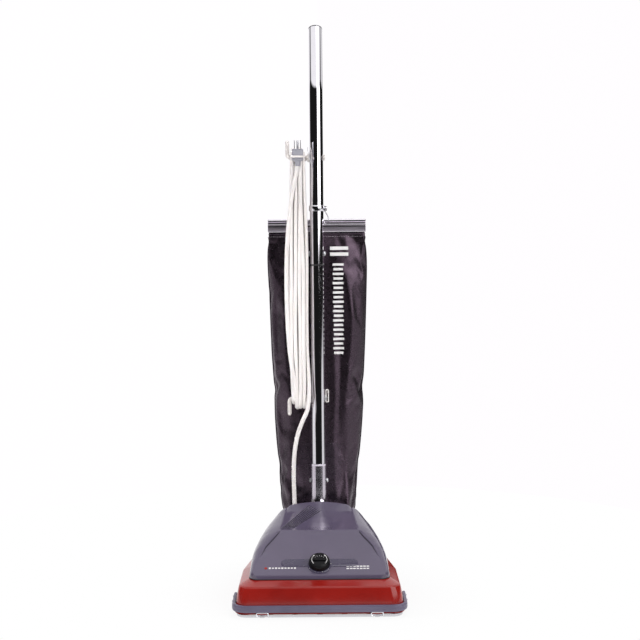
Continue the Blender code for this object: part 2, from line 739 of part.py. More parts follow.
def handle_bail(frame, chrome):
    """Socket for the tube, on a fork that straddles the motor."""
    outer, inner = SOCKET_R, TUBE_R + GAP
    profile = [(0, SOCKET_LOW), (inner, SOCKET_LOW), (inner, SOCKET_HIGH), (outer, SOCKET_HIGH),
               (outer, 0.0890), (0.0105, 0.0770), (0, 0.0770)]
    made = turned("handle_bail", profile, "z", (0, 0, 0), chrome, frame)
    half = [(PIVOT_X, 0.006), (PIVOT_X, 0.024), (0.0765, 0.0360), (0.0720, 0.0465), (0.0640, 0.0555),
            (0.0520, 0.0633), (0.0380, 0.0700), (0.0220, 0.0750), (0.0080, 0.0780)]
    points = [(-x, 0, z) for x, z in half] + [(x, 0, z) for x, z in reversed(half)]
    fork = place("fork", poly_curve("fork", points, 0.0062), None, (0, 0, 0), frame)
    join(made, as_mesh(fork))
    for side in (-1, 1):
        join(made, rod(f"eye_{side}", 0.0125, 0.0080, "x", (side * PIVOT_X, 0, 0), parent=frame))
    cut(made, rod("pivot_bore", PIVOT_HOLE_R, 0.2, "x", (0, 0, 0), parent=frame))
    cut(made, rod("bail_bolt_hole", BOLT_HOLE_R, 0.06, "x", (0, 0, LOWER_BOLT), parent=frame))
    return made


def pivot_pin(name, side, steel):
    """Shoulder bolt with a round head outside the fork's eye; its origin is on the pivot."""
    profile = [(0, 0.0255), (0.0080, 0.0255), (0.0090, 0.0235), (0.0090, 0.0217), (0.0045, 0.0217),
               (0.0045, -0.0010), (0, -0.0010)]
    turn = (0, side * math.pi / 2, 0)
    return turned(name, profile, "x", (side * 0.0630, PIVOT_Y, PIVOT_Z), steel, steps=14, turn=turn)


def lower_tube(frame, chrome):
    outer, inner = TUBE_R, TUBE_R - TUBE_WALL
    spigot = inner - 0.0008
    foot, step, top = SOCKET_LOW + GAP, RING, RING + 0.045
    profile = [(spigot - TUBE_WALL, top), (spigot, top), (spigot, step), (outer, step),
               (outer, foot), (inner, foot), (inner, step - 0.003), (spigot - TUBE_WALL, step)]
    made = turned("lower_tube", profile, "z", (0, 0, 0), chrome, frame, ring=True)
    for name, height in (("lower_bolt_hole", LOWER_BOLT), ("spigot_bolt_hole", UPPER_BOLT),
                         ("lower_hook_hole", HOOK_LOW)):
        cut(made, rod(name, BOLT_HOLE_R, 0.06, "x", (0, 0, height), parent=frame))
    return made


def joint_ring(frame, black):
    profile = tube_profile(0.0153, TUBE_R - TUBE_WALL, RING + GAP, RING + 0.0027)
    return turned("joint_ring", profile, "z", (0, 0, 0), black, frame, ring=True)


def grip_path():
    """Centre line of the upper tube: straight, then bent back."""
    radius, steps = 0.070, 5
    points = [Vector((0, 0, RING + 0.003)), Vector((0, 0, 0.85))]
    for k in range(steps + 1):
        turn = GRIP_LEAN * k / steps
        points.append(Vector((0, radius * (1 - math.cos(turn)), BEND + radius * math.sin(turn))))
    along = Vector((0, math.sin(GRIP_LEAN), math.cos(GRIP_LEAN)))
    points.append(points[-1] + along * (GRIP_LENGTH - 0.0030))
    return points, along


def upper_tube(frame, chrome):
    points, _ = grip_path()
    curved = place("upper_tube", poly_curve("upper_tube", points, TUBE_R, capped=False), None,
                   (0, 0, 0), frame)
    curved.data.bevel_resolution = 4
    made = as_mesh(curved)
    made.data.materials.append(chrome)
    thicken(made, TUBE_WALL)
    for name, height in (("upper_bolt_hole", UPPER_BOLT), ("upper_hook_hole", HOOK_HIGH)):
        cut(made, rod(name, BOLT_HOLE_R, 0.06, "x", (0, 0, height), parent=frame))
    return made


def grip_cap(frame, black):
    """Domed plug in the tube's open end."""
    points, along = grip_path()
    inner = TUBE_R - TUBE_WALL - 0.0008
    profile = [(0, 0.0050), (0.0060, 0.0044), (0.0110, 0.0026), (TUBE_R, GAP), (inner, GAP),
               (inner, -0.0120), (0, -0.0120)]
    return turned("grip_cap", profile, "z", points[-1], black, frame, turn=(-GRIP_LEAN, 0, 0))


def cross_bolt(name, height, reach, frame, steel):
    """Bolt along X through the tubes, with its head and its nut."""
    head, shank = 0.0052, 0.0027
    left, right = -reach - 0.0042, reach + 0.0042
    profile = [(0, right), (head, right), (head, reach + GAP), (shank, reach + GAP),
               (shank, -reach - GAP), (head, -reach - GAP), (head, left), (0, left)]
    return turned(name, profile, "x", (0, 0, height), steel, frame, steps=6)


def cord_hook(name, height, finger, frame, white):
    """An arm to the left with a finger that keeps the turns on; it turns on the arm's axis."""
    boss = -TUBE_R - GAP
    bend = 0.006
    points = [(boss - 0.001, 0, 0), (HOOK_X + bend, 0, 0)]
    for k in range(1, 5):
        turn = math.pi / 2 * k / 4
        points.append((HOOK_X + bend - bend * math.sin(turn), 0,
                       math.copysign(bend * (1 - math.cos(turn)), finger)))
    points.append((HOOK_X, 0, finger))
    curved = place(name, poly_curve(name, points, HOOK_R, sides=3), None, (0, 0, height), frame)
    made = as_mesh(curved)
    made.data.materials.append(white)
    join(made, rod(f"{name}_boss", 0.0095, 0.0036, "x", (boss - 0.0018, 0, height), parent=frame))
    cut(made, rod(f"{name}_screw_hole", 0.0030, 0.0100, "x", (boss, 0, height), parent=frame,
                  sides=12))
    return made


def hook_screw(name, height, frame, steel):
    head, shank = 0.0056, 0.0026
    reach = TUBE_R + GAP
    profile = [(0, reach + 0.0034), (head, reach + 0.0034), (head, reach), (shank, reach),
               (shank, -reach - 0.0040), (0, -reach - 0.0040)]
    return turned(name, profile, "x", (0, 0, height), steel, frame, steps=12)


# ---------------------------------------------------------------- bag
# Height along the handle, half width, depth, and distance of the middle behind the tube's axis.
BAG_SECTIONS = (
    (0.0430, 0.0400, 0.0400, 0.0450), (0.0520, 0.0600, 0.0540, 0.0510), (0.0700, 0.0740, 0.0620, 0.0550),
    (0.1000, 0.0800, 0.0680, 0.0580), (0.1600, 0.0830, 0.0740, 0.0610), (0.2400, 0.0900, 0.0760, 0.0620),
    (0.3400, 0.0960, 0.0740, 0.0610), (0.4400, 0.0995, 0.0680, 0.0580), (0.5300, 0.1020, 0.0560, 0.0520),
    (0.6000, 0.1035, 0.0380, 0.0430), (0.6450, 0.1020, 0.0180, 0.0350), (0.6560, 0.1005, 0.0070, 0.0330),
    (0.6765, 0.1000, 0.0060, 0.0330),
)
CLAMP_BACK = 0.0330


def bag(frame, fabric):
    rings = []
    count = 20
    for height, half, depth, back in BAG_SECTIONS:
        ring = []
        for k in range(count):
            turn = 2 * math.pi * k / count
            x, y = math.cos(turn), math.sin(turn)
            ring.append((half * math.copysign(abs(x) ** 0.75, x),
                         back + depth / 2 * math.copysign(abs(y) ** 0.75, y), height))
        rings.append(ring)
    return loft("bag", rings, fabric, cap_start=True, cap_end=True, parent=frame, smooth_angle=60)


def bag_clamp(frame, chrome):
    """Channel that slides off sideways: it pinches the bag's top hem, with a round bead on top."""
    outer, inner, low, roof = 0.0068, 0.0052, -0.0140, 0.0070
    bead, middle = 0.0040, BEAD_UP
    outline = [(-outer, low), (-inner, low), (-inner, roof - 0.0015), (inner, roof - 0.0015),
               (inner, low), (outer, low), (outer, roof), (0.0028, roof)]
    for k in range(9):
        turn = math.radians(-45 + 270 * k / 8)
        outline.append((bead * math.cos(turn), middle + bead * math.sin(turn)))
    outline.append((-0.0028, roof))
    outline.append((-outer, roof))
    flat = outline_solid("bag_clamp", [outline], CLAMP_LENGTH, (0, CLAMP_BACK, CLAMP), None, frame,
                         (math.pi / 2, 0, math.pi / 2))
    made = as_mesh(flat)
    made.data.materials.append(chrome)
    return made


def bag_hanger(frame, steel):
    """Band round the tube with an open saddle that carries the clamp's bead."""
    height = CLAMP + BEAD_UP
    top = height + 0.0250
    profile = tube_profile(TUBE_R + 0.0020, TUBE_R + GAP, top - 0.006, top + 0.006)
    made = turned("bag_hanger", profile, "z", (0, 0, 0), steel, frame, ring=True)
    inner, outer = 0.0046, 0.0064
    outline = []
    for radius, order in ((outer, range(11)), (inner, range(10, -1, -1))):
        for k in order:
            turn = math.radians(-14 + 208 * k / 10)
            outline.append((radius * math.cos(turn), radius * math.sin(turn)))
    saddle = as_mesh(outline_solid("saddle", [outline], 0.018, (0, CLAMP_BACK, height), None, frame,
                                   (math.pi / 2, 0, math.pi / 2)))
    join(made, saddle)
    join(made, block("hanger_post", (0.012, 0.0018, 0.0230), (0, CLAMP_BACK, height + 0.0165),
                     parent=frame))
    join(made, block("hanger_bridge", (0.012, 0.0190, 0.0018), (0, 0.0243, height + 0.0272),
                     parent=frame))
    return made


# ---------------------------------------------------------------- cord
def cord_lead(vinyl):
    """The free stretch from the strain relief to the winding."""
    return wire("cord_lead", smooth_route(CORD_ROUTE, 2), CORD_R, vinyl)


def smooth_route(points, steps):
    """Points along a Catmull-Rom curve through the route."""
    spots = [Vector(point) for point in points]
    spots = [2 * spots[0] - spots[1]] + spots + [2 * spots[-1] - spots[-2]]
    made = []
    for a, b, c, d in zip(spots, spots[1:], spots[2:], spots[3:]):
        for k in range(steps):
            t = k / steps
            made.append(0.5 * (2 * b + (c - a) * t + (2 * a - 5 * b + 4 * c - d) * t * t
                               + (3 * b - a - 3 * c + d) * t * t * t))
    made.append(spots[-2])
    return made


def cord_hank(frame, vinyl):
    """The outer shape of the turns wound round the two hooks."""
    middle = (HOOK_LOW + HOOK_HIGH) / 2
    half = (HOOK_HIGH - HOOK_LOW) / 2
    inner = HOOK_R + 0.0006
    outer = rounded_box(HANK_THICK, half + HANK_THICK, HANK_THICK - 0.0001, steps=6)
    slot = rounded_box(inner, half + inner, inner - 0.0001, steps=4)
    at = (sum(HANK_X) / 2, 0, middle)
    flat = outline_solid("cord_hank", [outer, slot], HANK_X[1] - HANK_X[0], at, None, frame,
                         (math.pi / 2, 0, math.pi / 2))
    made = as_mesh(flat)
    made.data.materials.append(vinyl)
    return made


def cord_plug(frame, grey):
    """Moulded plug at the end of the cord, clipped in front of the winding's top."""
    at = (-0.0385, -HANK_THICK - 0.0085, HOOK_HIGH + 0.0040)
    made = block("cord_plug", (0.0240, 0.0150, 0.0250), at, grey, frame, bevel=0.003)
    for side in (-1, 1):
        join(made, block(f"plug_blade_{side}", (0.0016, 0.0062, 0.0180),
                         (at[0] + side * 0.0063, at[1] - 0.001, at[2] + 0.0205), parent=frame))
    join(made, rod("plug_ground", 0.0024, 0.0200, "z", (at[0], at[1] + 0.0040, at[2] + 0.0210),
                   parent=frame, sides=12))
    join(made, rod("plug_tail", 0.0060, 0.0120, "z", (at[0], at[1], at[2] - 0.0170), parent=frame))
    return made


# ---------------------------------------------------------------- assembly
def build():
    red = material("gloss_red", (0.45, 0.02, 0.015), 0.25)
    grey = material("hood_grey", (0.15, 0.135, 0.19), 0.3)
    bumper_grey = material("bumper_grey", (0.16, 0.14, 0.2), 0.55)
    chrome = material("chrome", (0.85, 0.84, 0.87), 0.06, 1.0)
    steel = material("zinc_steel", (0.62, 0.62, 0.63), 0.35, 1.0)
    black = material("black_plastic", (0.02, 0.02, 0.022), 0.4)
    rubber = material("black_rubber", (0.015, 0.015, 0.016), 0.8)
    fabric = material("bag_fabric", (0.03, 0.026, 0.034), 0.75)
    vinyl = material("cord_vinyl", (0.86, 0.83, 0.79), 0.45)
    white = material("hook_plastic", (0.82, 0.79, 0.77), 0.4)
    wood = material("brush_wood", (0.45, 0.32, 0.2), 0.6)

    base_housing(red)
    bumper_guard(bumper_grey)
    bottom_plate(chrome)
    plate_clip("plate_clip_left", -1, chrome)
    plate_clip("plate_clip_right", 1, chrome)
    brush_core(wood)
    bristles("bristles_left", -1, 0.4, black)
    bristles("bristles_right", 1, 0.4, black)
    shaft = 2 * BRUSH_HALF + 0.024
    rod("brush_shaft", SHAFT_R, shaft, "x", (0, BRUSH_Y, BRUSH_Z), steel)
    brush_bearing("brush_bearing_left", -1, black)
    brush_bearing("brush_bearing_right", 1, black)
    drive_belt(rubber)

    hood(grey)
    axis = knob_empty()
    height_knob(axis, black)
    height_plunger(axis, steel)
    wheel_carriage(steel)
    carriage_pin("carriage_pin_left", -1, steel)
    carriage_pin("carriage_pin_right", 1, steel)
    rod("front_axle", 0.0025, 0.212, "x", (0, FRONT_WHEEL_Y, FRONT_WHEEL_R), steel)
    rod("rear_axle", 0.0040, 0.255, "x", (0, REAR_WHEEL_Y, REAR_WHEEL_R), steel)
    for side, word in ((-1, "left"), (1, "right")):
        wheel(f"front_wheel_{word}", FRONT_WHEEL_R, 0.014, 0.0029,
              (side * 0.0960, FRONT_WHEEL_Y, FRONT_WHEEL_R), rubber)
        wheel(f"rear_wheel_{word}", REAR_WHEEL_R, 0.018, 0.0044,
              (side * 0.1155, REAR_WHEEL_Y, REAR_WHEEL_R), rubber)

    armature(steel)
    impeller(bumper_grey)
    fan_housing(black)
    motor_housing(black)
    motor_cap(black)
    ring_on_shaft("motor_bearing_front", BEARING_R, SHAFT_R + GAP, MOTOR_FRONT + 0.0005, 0.0070, steel)
    ring_on_shaft("motor_bearing_rear", BEARING_R, SHAFT_R + GAP, MOTOR_REAR + 0.0006, 0.0060, steel)
    ring_on_shaft("motor_stator", MOTOR_R - 0.0034, 0.0235, FRONT + 0.176, 0.048, steel)
    for side, word in ((-1, "left"), (1, "right")):
        block(f"carbon_brush_{word}", (0.0200, 0.0080, 0.0070),
              (side * 0.0225, FRONT + 0.234, MOTOR_Z), black)
    exhaust_duct(black)
    outlet_neck(black)
    bag_collar(rubber)
    strain_relief(black)
    foot_lever("release_pedal", -1, black)
    foot_lever("power_pedal", 1, red)
    pedal_spring(steel)

    frame = handle_empty()
    handle_bail(frame, chrome)
    pivot_pin("pivot_pin_left", -1, steel)
    pivot_pin("pivot_pin_right", 1, steel)
    lower_tube(frame, chrome)
    joint_ring(frame, black)
    upper_tube(frame, chrome)
    grip_cap(frame, black)
    cross_bolt("lower_bolt", LOWER_BOLT, SOCKET_R, frame, steel)
    cross_bolt("upper_bolt", UPPER_BOLT, TUBE_R, frame, steel)
    cord_hook("upper_hook", HOOK_HIGH, HOOK_FINGER, frame, white)
    cord_hook("lower_hook", HOOK_LOW, -HOOK_FINGER, frame, white)
    hook_screw("upper_hook_screw", HOOK_HIGH, frame, steel)
    hook_screw("lower_hook_screw", HOOK_LOW, frame, steel)
    bag(frame, fabric)
    bag_clamp(frame, chrome)
    bag_hanger(frame, steel)
    cord_lead(vinyl)
    cord_hank(frame, vinyl)
    cord_plug(frame, grey)


clear_scene()
PARTS = new_collection("upright_vacuum_cleaner")
CUTTERS = new_collection("cutters")
build()
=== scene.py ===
"""Looks of the upright vacuum cleaner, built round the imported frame. Metres, +Z up, nozzle towards -Y."""
import json
import math
import random

import bmesh
import bpy
from mathutils import Matrix, Vector, noise
from mathutils.bvhtree import BVHTree


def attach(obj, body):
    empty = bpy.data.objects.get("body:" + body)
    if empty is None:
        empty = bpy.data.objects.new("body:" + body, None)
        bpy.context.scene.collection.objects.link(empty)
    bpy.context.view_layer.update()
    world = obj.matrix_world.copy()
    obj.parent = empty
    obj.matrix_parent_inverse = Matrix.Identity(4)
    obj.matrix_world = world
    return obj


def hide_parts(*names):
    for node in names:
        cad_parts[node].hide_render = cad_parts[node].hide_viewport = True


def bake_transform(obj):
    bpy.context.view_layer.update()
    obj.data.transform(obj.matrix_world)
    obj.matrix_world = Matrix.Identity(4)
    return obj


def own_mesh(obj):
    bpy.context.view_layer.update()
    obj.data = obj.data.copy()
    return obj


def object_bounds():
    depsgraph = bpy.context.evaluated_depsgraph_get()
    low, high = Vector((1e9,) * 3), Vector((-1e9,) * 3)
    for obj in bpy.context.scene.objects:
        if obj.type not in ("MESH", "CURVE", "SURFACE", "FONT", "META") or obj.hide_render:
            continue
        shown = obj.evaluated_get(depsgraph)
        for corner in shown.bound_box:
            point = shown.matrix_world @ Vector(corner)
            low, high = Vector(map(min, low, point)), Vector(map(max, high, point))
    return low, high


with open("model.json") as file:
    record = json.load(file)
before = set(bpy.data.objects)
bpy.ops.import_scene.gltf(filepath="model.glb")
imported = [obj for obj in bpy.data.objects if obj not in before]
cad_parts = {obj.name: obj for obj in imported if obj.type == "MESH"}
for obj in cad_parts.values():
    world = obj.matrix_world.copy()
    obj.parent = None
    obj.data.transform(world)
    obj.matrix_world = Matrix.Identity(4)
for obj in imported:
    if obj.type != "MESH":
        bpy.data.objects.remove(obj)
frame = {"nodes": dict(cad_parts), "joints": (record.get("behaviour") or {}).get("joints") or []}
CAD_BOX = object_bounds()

JOINTS = {joint["name"]: joint for joint in frame["joints"]}
PIVOT = Vector(JOINTS["handle_tilt"]["pos_m"])
KNOB_AT = Vector(JOINTS["knob_turn"]["pos_m"])
KNOB_AXIS = Vector(JOINTS["knob_turn"]["axis"])
LEAN = math.radians(3)
HANDLE = Matrix.Translation(PIVOT) @ Matrix.Rotation(-LEAN, 4, "X")   # X, back, up along the handle
KNOB = Matrix.Translation(KNOB_AT) @ Matrix.Rotation(math.acos(KNOB_AXIS.z), 4, "X")
FRONT = CAD_BOX[0].y
DECK = 0.069                # top of the nozzle housing
GAP = 0.0003
SIDES = ((-1, "left"), (1, "right"))
SHARP = 38                  # degrees between faces from which an edge is drawn sharp


# ---------------------------------------------------------------- mesh tools
def shade(mesh, sharp=SHARP):
    mesh.shade_smooth()
    mesh.set_sharp_from_angle(angle=math.radians(sharp))
    return mesh


def mesh_of(points, faces, sharp=SHARP):
    work = bmesh.new()
    verts = [work.verts.new(point) for point in points]
    for face in faces:
        if len(set(face)) == len(face):
            work.faces.new([verts[i] for i in face])
    bmesh.ops.remove_doubles(work, verts=work.verts, dist=0.000002)
    bmesh.ops.recalc_face_normals(work, faces=work.faces)
    mesh = bpy.data.meshes.new("mesh")
    work.to_mesh(mesh)
    work.free()
    return shade(mesh, sharp)


def shown(name, data):
    made = bpy.data.objects.new(name, data)
    bpy.context.scene.collection.objects.link(made)
    return made


def piece(name, mesh, finish, body=None, stands_for=(), place=None, slot=None):
    """A visible piece of one mesh or a list of them; its finish's slot is looked up unless one is given, but
    it is not stored.
    """
    made = shown(name, joined(*mesh) if isinstance(mesh, list) else mesh)
    made.data.name = name
    made.data.materials.clear()
    made.data.materials.append(finish)
    if place is not None:
        made.matrix_world = place
    if body:
        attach(made, body)
    if stands_for:
        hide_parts(*stands_for)
    slot or SLOT_OF[finish.name]
    return made


def bridge(rows, closed=True, loop=False):
    """Quads between neighbouring rows of equal counts."""
    count = len(rows[0])
    points = [point for row in rows for point in row]
    faces = []
    for r in range(len(rows) if loop else len(rows) - 1):
        a, b = r * count, ((r + 1) % len(rows)) * count
        for i in range(count if closed else count - 1):
            j = (i + 1) % count
            faces.append((a + i, a + j, b + j, b + i))
    return points, faces


def loft(rows, closed=True, sharp=SHARP, first=True, last=True):
    """A skin over the rows, with its first and last row closed by a face."""
    points, faces = bridge(rows, closed)
    count = len(rows[0])
    if first:
        faces.append(tuple(range(count)))
    if last:
        faces.append(tuple(range(len(points) - count, len(points))))
    return mesh_of(points, faces, sharp)


def lathe(profile, steps=64, ring=False, flutes=None):
    """Turn a profile of (radius, height) round Z."""
    rows = []
    for k in range(steps):
        turn = 2 * math.pi * k / steps
        grow = flutes(turn) if flutes else (lambda r: r)
        rows.append([(grow(r) * math.cos(turn), grow(r) * math.sin(turn), h) for r, h in profile])
    return mesh_of(*bridge(rows, closed=ring, loop=True))


def mirrored(half):
    """A profile of (radius, height) and the same below it: half starts at the middle and goes up."""
    return [(r, -h) for r, h in reversed(half) if h] + half


def rod(radius, half, steps=24):
    """A plain round rod along Z; it also cuts round holes."""
    return lathe(mirrored([(radius, half), (0, half)]), steps)


def rounded(corners, steps=8):
    """A closed outline from corners (a, b, radius)."""
    points = []
    for i, (a, b, radius) in enumerate(corners):
        corner = Vector((a, b))
        before = (Vector(corners[i - 1][:2]) - corner).normalized()
        after = (Vector(corners[(i + 1) % len(corners)][:2]) - corner).normalized()
        half = before.angle(after) / 2
        centre = corner + (before + after).normalized() * radius / math.sin(half)
        start = corner + before * radius / math.tan(half) - centre
        end = corner + after * radius / math.tan(half) - centre
        for k in range(steps + 1):
            points.append(tuple(centre + start.lerp(end, k / steps).normalized() * radius))
    return points


def rounded_rect(half_a, half_b, radius, steps=6):
    return rounded([(-half_a, -half_b, radius), (half_a, -half_b, radius),
                    (half_a, half_b, radius), (-half_a, half_b, radius)], steps)


def slab(outline, low, high, edge=0.0008):
    """An outline in X and Y raised from low to high, its rims rounded inwards."""
    middle = Vector((sum(a for a, _ in outline), sum(b for _, b in outline))) / len(outline)
    reach = max((Vector(point) - middle).length for point in outline)
    rows = []
    for height, inset in ((low, edge), (low + edge * 0.3, edge * 0.3), (low + edge, 0),
                          (high - edge, 0), (high - edge * 0.3, edge * 0.3), (high, edge)):
        share = 1 - inset / reach
        rows.append([(middle.x + (a - middle.x) * share, middle.y + (b - middle.y) * share, height)
                     for a, b in outline])
    return loft(rows)


def block(size, edge=0.0006):
    """A box with rounded upright and level edges."""
    return slab(rounded_rect(size[0] / 2, size[1] / 2, edge, 3), -size[2] / 2, size[2] / 2, edge)


def smooth_path(points, steps=6):
    """Points along a Catmull-Rom curve."""
    spots = [Vector(point) for point in points]
    spots = [2 * spots[0] - spots[1]] + spots + [2 * spots[-1] - spots[-2]]
    made = []
    for a, b, c, d in zip(spots, spots[1:], spots[2:], spots[3:]):
        for k in range(steps):
            t = k / steps
            made.append(0.5 * (2 * b + (c - a) * t + (2 * a - 5 * b + 4 * c - d) * t * t
                               + (3 * b - a - 3 * c + d) * t * t * t))
    return made + [spots[-2]]


def oval(wide, tall):
    """A sweep's section, as shares of its radius."""
    return lambda turn: (wide * math.cos(turn), tall * math.sin(turn))


def sweep(path, radius, sides=16, closed=False, caps=True, section=oval(1, 1)):
    """A tube along a path; radius is a number or a function of the share of the way along."""
    path = [Vector(point) for point in path]
    count = len(path)
    tangents = []
    for i in range(count):
        before = path[i - 1] if i or closed else path[i]
        after = path[(i + 1) % count] if i < count - 1 or closed else path[i]
        tangents.append((after - before).normalized())
    side = tangents[0].orthogonal().normalized()
    frames = []
    for tangent in tangents:
        side = (side - tangent * side.dot(tangent)).normalized()
        frames.append((side.copy(), tangent.cross(side)))
    twist = 0.0
    if closed:
        last, first = frames[-1], frames[0]
        turned = (last[0] - tangents[0] * last[0].dot(tangents[0])).normalized()
        twist = math.atan2(turned.dot(first[1]), turned.dot(first[0]))
    rows = []
    for i, (point, (u, v)) in enumerate(zip(path, frames)):
        size = radius(i / (count - 1)) if callable(radius) else radius
        row = []
        for k in range(sides):
            a, b = section(2 * math.pi * k / sides - twist * i / count)
            row.append(point + size * (u * a + v * b))
        rows.append(row)
    if closed:
        return mesh_of(*bridge(rows, loop=True))
    return loft(rows, first=caps, last=caps)


def joined(*meshes):
    """One mesh of several, left as separate shells."""
    work = bmesh.new()
    for mesh in meshes:
        work.from_mesh(mesh)
    made = bpy.data.meshes.new("joined")
    work.to_mesh(made)
    work.free()
    return shade(made)


def about(axis, degrees):
    return Matrix.Rotation(math.radians(degrees), 4, axis)


def at(x, y, z, turn=None):
    place = Matrix.Translation((x, y, z))
    return place if turn is None else place @ turn


def moved(mesh, place):
    mesh.transform(place)
    return mesh


def lying(mesh, x=0.0, y=0.0, z=0.0):
    """Something turned round Z, laid along X instead."""
    return moved(mesh, at(x, y, z, about("Y", 90)))


def tree_of(mesh):
    return BVHTree.FromPolygons([v.co for v in mesh.vertices], [tuple(p.vertices) for p in mesh.polygons])


def shaped(mesh, *steps):
    """The mesh after modifiers; each step sets one up on the object and returns any helper object it made."""
    helper = shown("helper", mesh)
    tools = [step(helper) for step in steps]
    bpy.context.view_layer.update()
    graph = bpy.context.evaluated_depsgraph_get()
    made = bpy.data.meshes.new_from_object(helper.evaluated_get(graph))
    for thing in [helper] + [tool for tool in tools if tool]:
        bpy.data.objects.remove(thing)
    return shade(made)


def wall(thickness):
    def step(helper):
        shell = helper.modifiers.new("Wall", "SOLIDIFY")
        shell.thickness = thickness
        shell.offset = -1
        shell.use_even_offset = True
    return step


def cutting(mesh, own=False):
    """Cut the mesh away; own is for a body or a tool that crosses itself."""
    def step(helper):
        tool = shown("tool", mesh)
        tool.hide_render = True
        cut = helper.modifiers.new("Cut", "BOOLEAN")
        cut.operation = "DIFFERENCE"
        cut.use_self = own
        cut.object = tool
        return tool
    return step


def finer(helper):
    step = helper.modifiers.new("Finer", "SUBSURF")
    step.levels = 1
    step.render_levels = 1


# ---------------------------------------------------------------- materials
class Nodes:
    """Short calls for a node tree: a material's, or the world's."""

    def __init__(self, tree, coordinates="Object"):
        self.tree = tree
        self.place = self.add("ShaderNodeTexCoord").outputs[coordinates]

    def add(self, kind, **values):
        node = self.tree.nodes.new(kind)
        for key, value in values.items():
            setattr(node, key, value)
        return node

    def feed(self, socket, value):
        """A number, a colour or another node's output into a socket."""
        if isinstance(value, tuple):
            socket.default_value = (*value, 1.0) if socket.type == "RGBA" else value
        elif isinstance(value, (int, float)):
            socket.default_value = value
        else:
            self.tree.links.new(value, socket)

    def made(self, kind, out, inputs, **values):
        node = self.add(kind, **values)
        for key, value in inputs.items():
            self.feed(node.inputs[key], value)
        return node.outputs[out]

    def mapped(self, stretch):
        return self.made("ShaderNodeMapping", "Vector", {"Vector": self.place, "Scale": stretch})

    def noise(self, scale, detail=3, rough=0.55, stretch=(1, 1, 1)):
        return self.made("ShaderNodeTexNoise", "Fac", {"Vector": self.mapped(stretch), "Scale": scale,
                                                       "Detail": detail, "Roughness": rough})

    def wave(self, scale, direction, distort):
        return self.made("ShaderNodeTexWave", "Fac", {"Vector": self.mapped((1, 1, 1)), "Scale": scale,
                                                      "Distortion": distort}, bands_direction=direction)

    def ramp(self, value, low, high, to_low=0.0, to_high=1.0):
        return self.made("ShaderNodeMapRange", "Result", {"Value": value, "From Min": low, "From Max": high,
                                                          "To Min": to_low, "To Max": to_high})

    def blend(self, share, first, second):
        return self.made("ShaderNodeMix", 2, {0: share, 6: first, 7: second}, data_type="RGBA")

    def maths(self, operation, *values):
        return self.made("ShaderNodeMath", 0, dict(enumerate(values)), operation=operation)

    def band(self, value, low, high, soft):
        """One between low and high, falling to nothing over soft on each side."""
        return self.maths("MULTIPLY", self.ramp(value, low - soft, low), self.ramp(value, high + soft, high))

    def bump(self, height, strength, distance, before=None):
        inputs = {"Strength": strength, "Distance": distance, "Height": height}
        if before is not None:
            inputs["Normal"] = before
        return self.made("ShaderNodeBump", "Normal", inputs)


class Finish(Nodes):
    """A new material's nodes."""

    def __init__(self, name):
        self.material = bpy.data.materials.new(name)
        self.material.use_nodes = True
        super().__init__(self.material.node_tree)
        self.shader = self.tree.nodes["Principled BSDF"]

    def set(self, **values):
        for key, value in values.items():
            self.feed(self.shader.inputs[key.replace("_", " ")], value)
        return self.material


def darker(colour, share):
    return tuple(min(1, c * share) for c in colour)


def moulded(name, colour, roughness, grain=0.15, spread=0.12, coat=0.0, scale=900, ior=1.5):
    """Moulded plastic or rubber: clouded colour, uneven gloss and a fine grain."""
    n = Finish(name)
    base = n.blend(n.ramp(n.noise(14, 4), 0.35, 0.65), darker(colour, 1 - spread), darker(colour, 1 + spread))
    gloss = n.ramp(n.noise(60, 5), 0.3, 0.7, roughness * 0.85, min(1, roughness * 1.2))
    fine = n.bump(n.noise(scale, 2), grain, 0.0002)
    return n.set(Base_Color=base, Roughness=gloss, Normal=n.bump(n.noise(35, 2), 0.06, 0.0006, fine),
                 Coat_Weight=coat, Coat_Roughness=roughness * 0.6, IOR=ior)


def enamel(name, colour, roughness):
    """Glossy sprayed enamel with a little orange peel and fine metallic specks."""
    n = Finish(name)
    base = n.blend(n.ramp(n.noise(9, 3), 0.35, 0.65), darker(colour, 0.8), colour)
    specks = n.ramp(n.noise(2600, 1), 0.62, 0.8, 0, 0.25)
    base = n.blend(specks, base, tuple(min(1, c * 1.5 + 0.02) for c in colour))
    gloss = n.ramp(n.noise(40, 5), 0.3, 0.7, roughness * 0.8, roughness * 1.3)
    return n.set(Base_Color=base, Roughness=gloss, Normal=n.bump(n.noise(220, 2), 0.05, 0.0005),
                 Coat_Weight=0.25, Coat_Roughness=0.06, Specular_IOR_Level=0.35)


def plated(name, colour, roughness, streak=(1, 1, 30), wear=0.3):
    """Bright plated metal: faint drawing lines and smudges."""
    n = Finish(name)
    smudge = n.noise(22, 6, 0.65)
    lines = n.noise(420, 3, 0.6, streak)
    gloss = n.maths("ADD", n.ramp(smudge, 0.45, 0.8, roughness, roughness + 0.10 * wear),
                    n.ramp(lines, 0.35, 0.75, 0, 0.05 * wear))
    base = n.blend(n.ramp(smudge, 0.4, 0.7), colour, darker(colour, 0.92))
    return n.set(Base_Color=base, Metallic=1.0, Roughness=gloss, Normal=n.bump(lines, 0.025, 0.0002))


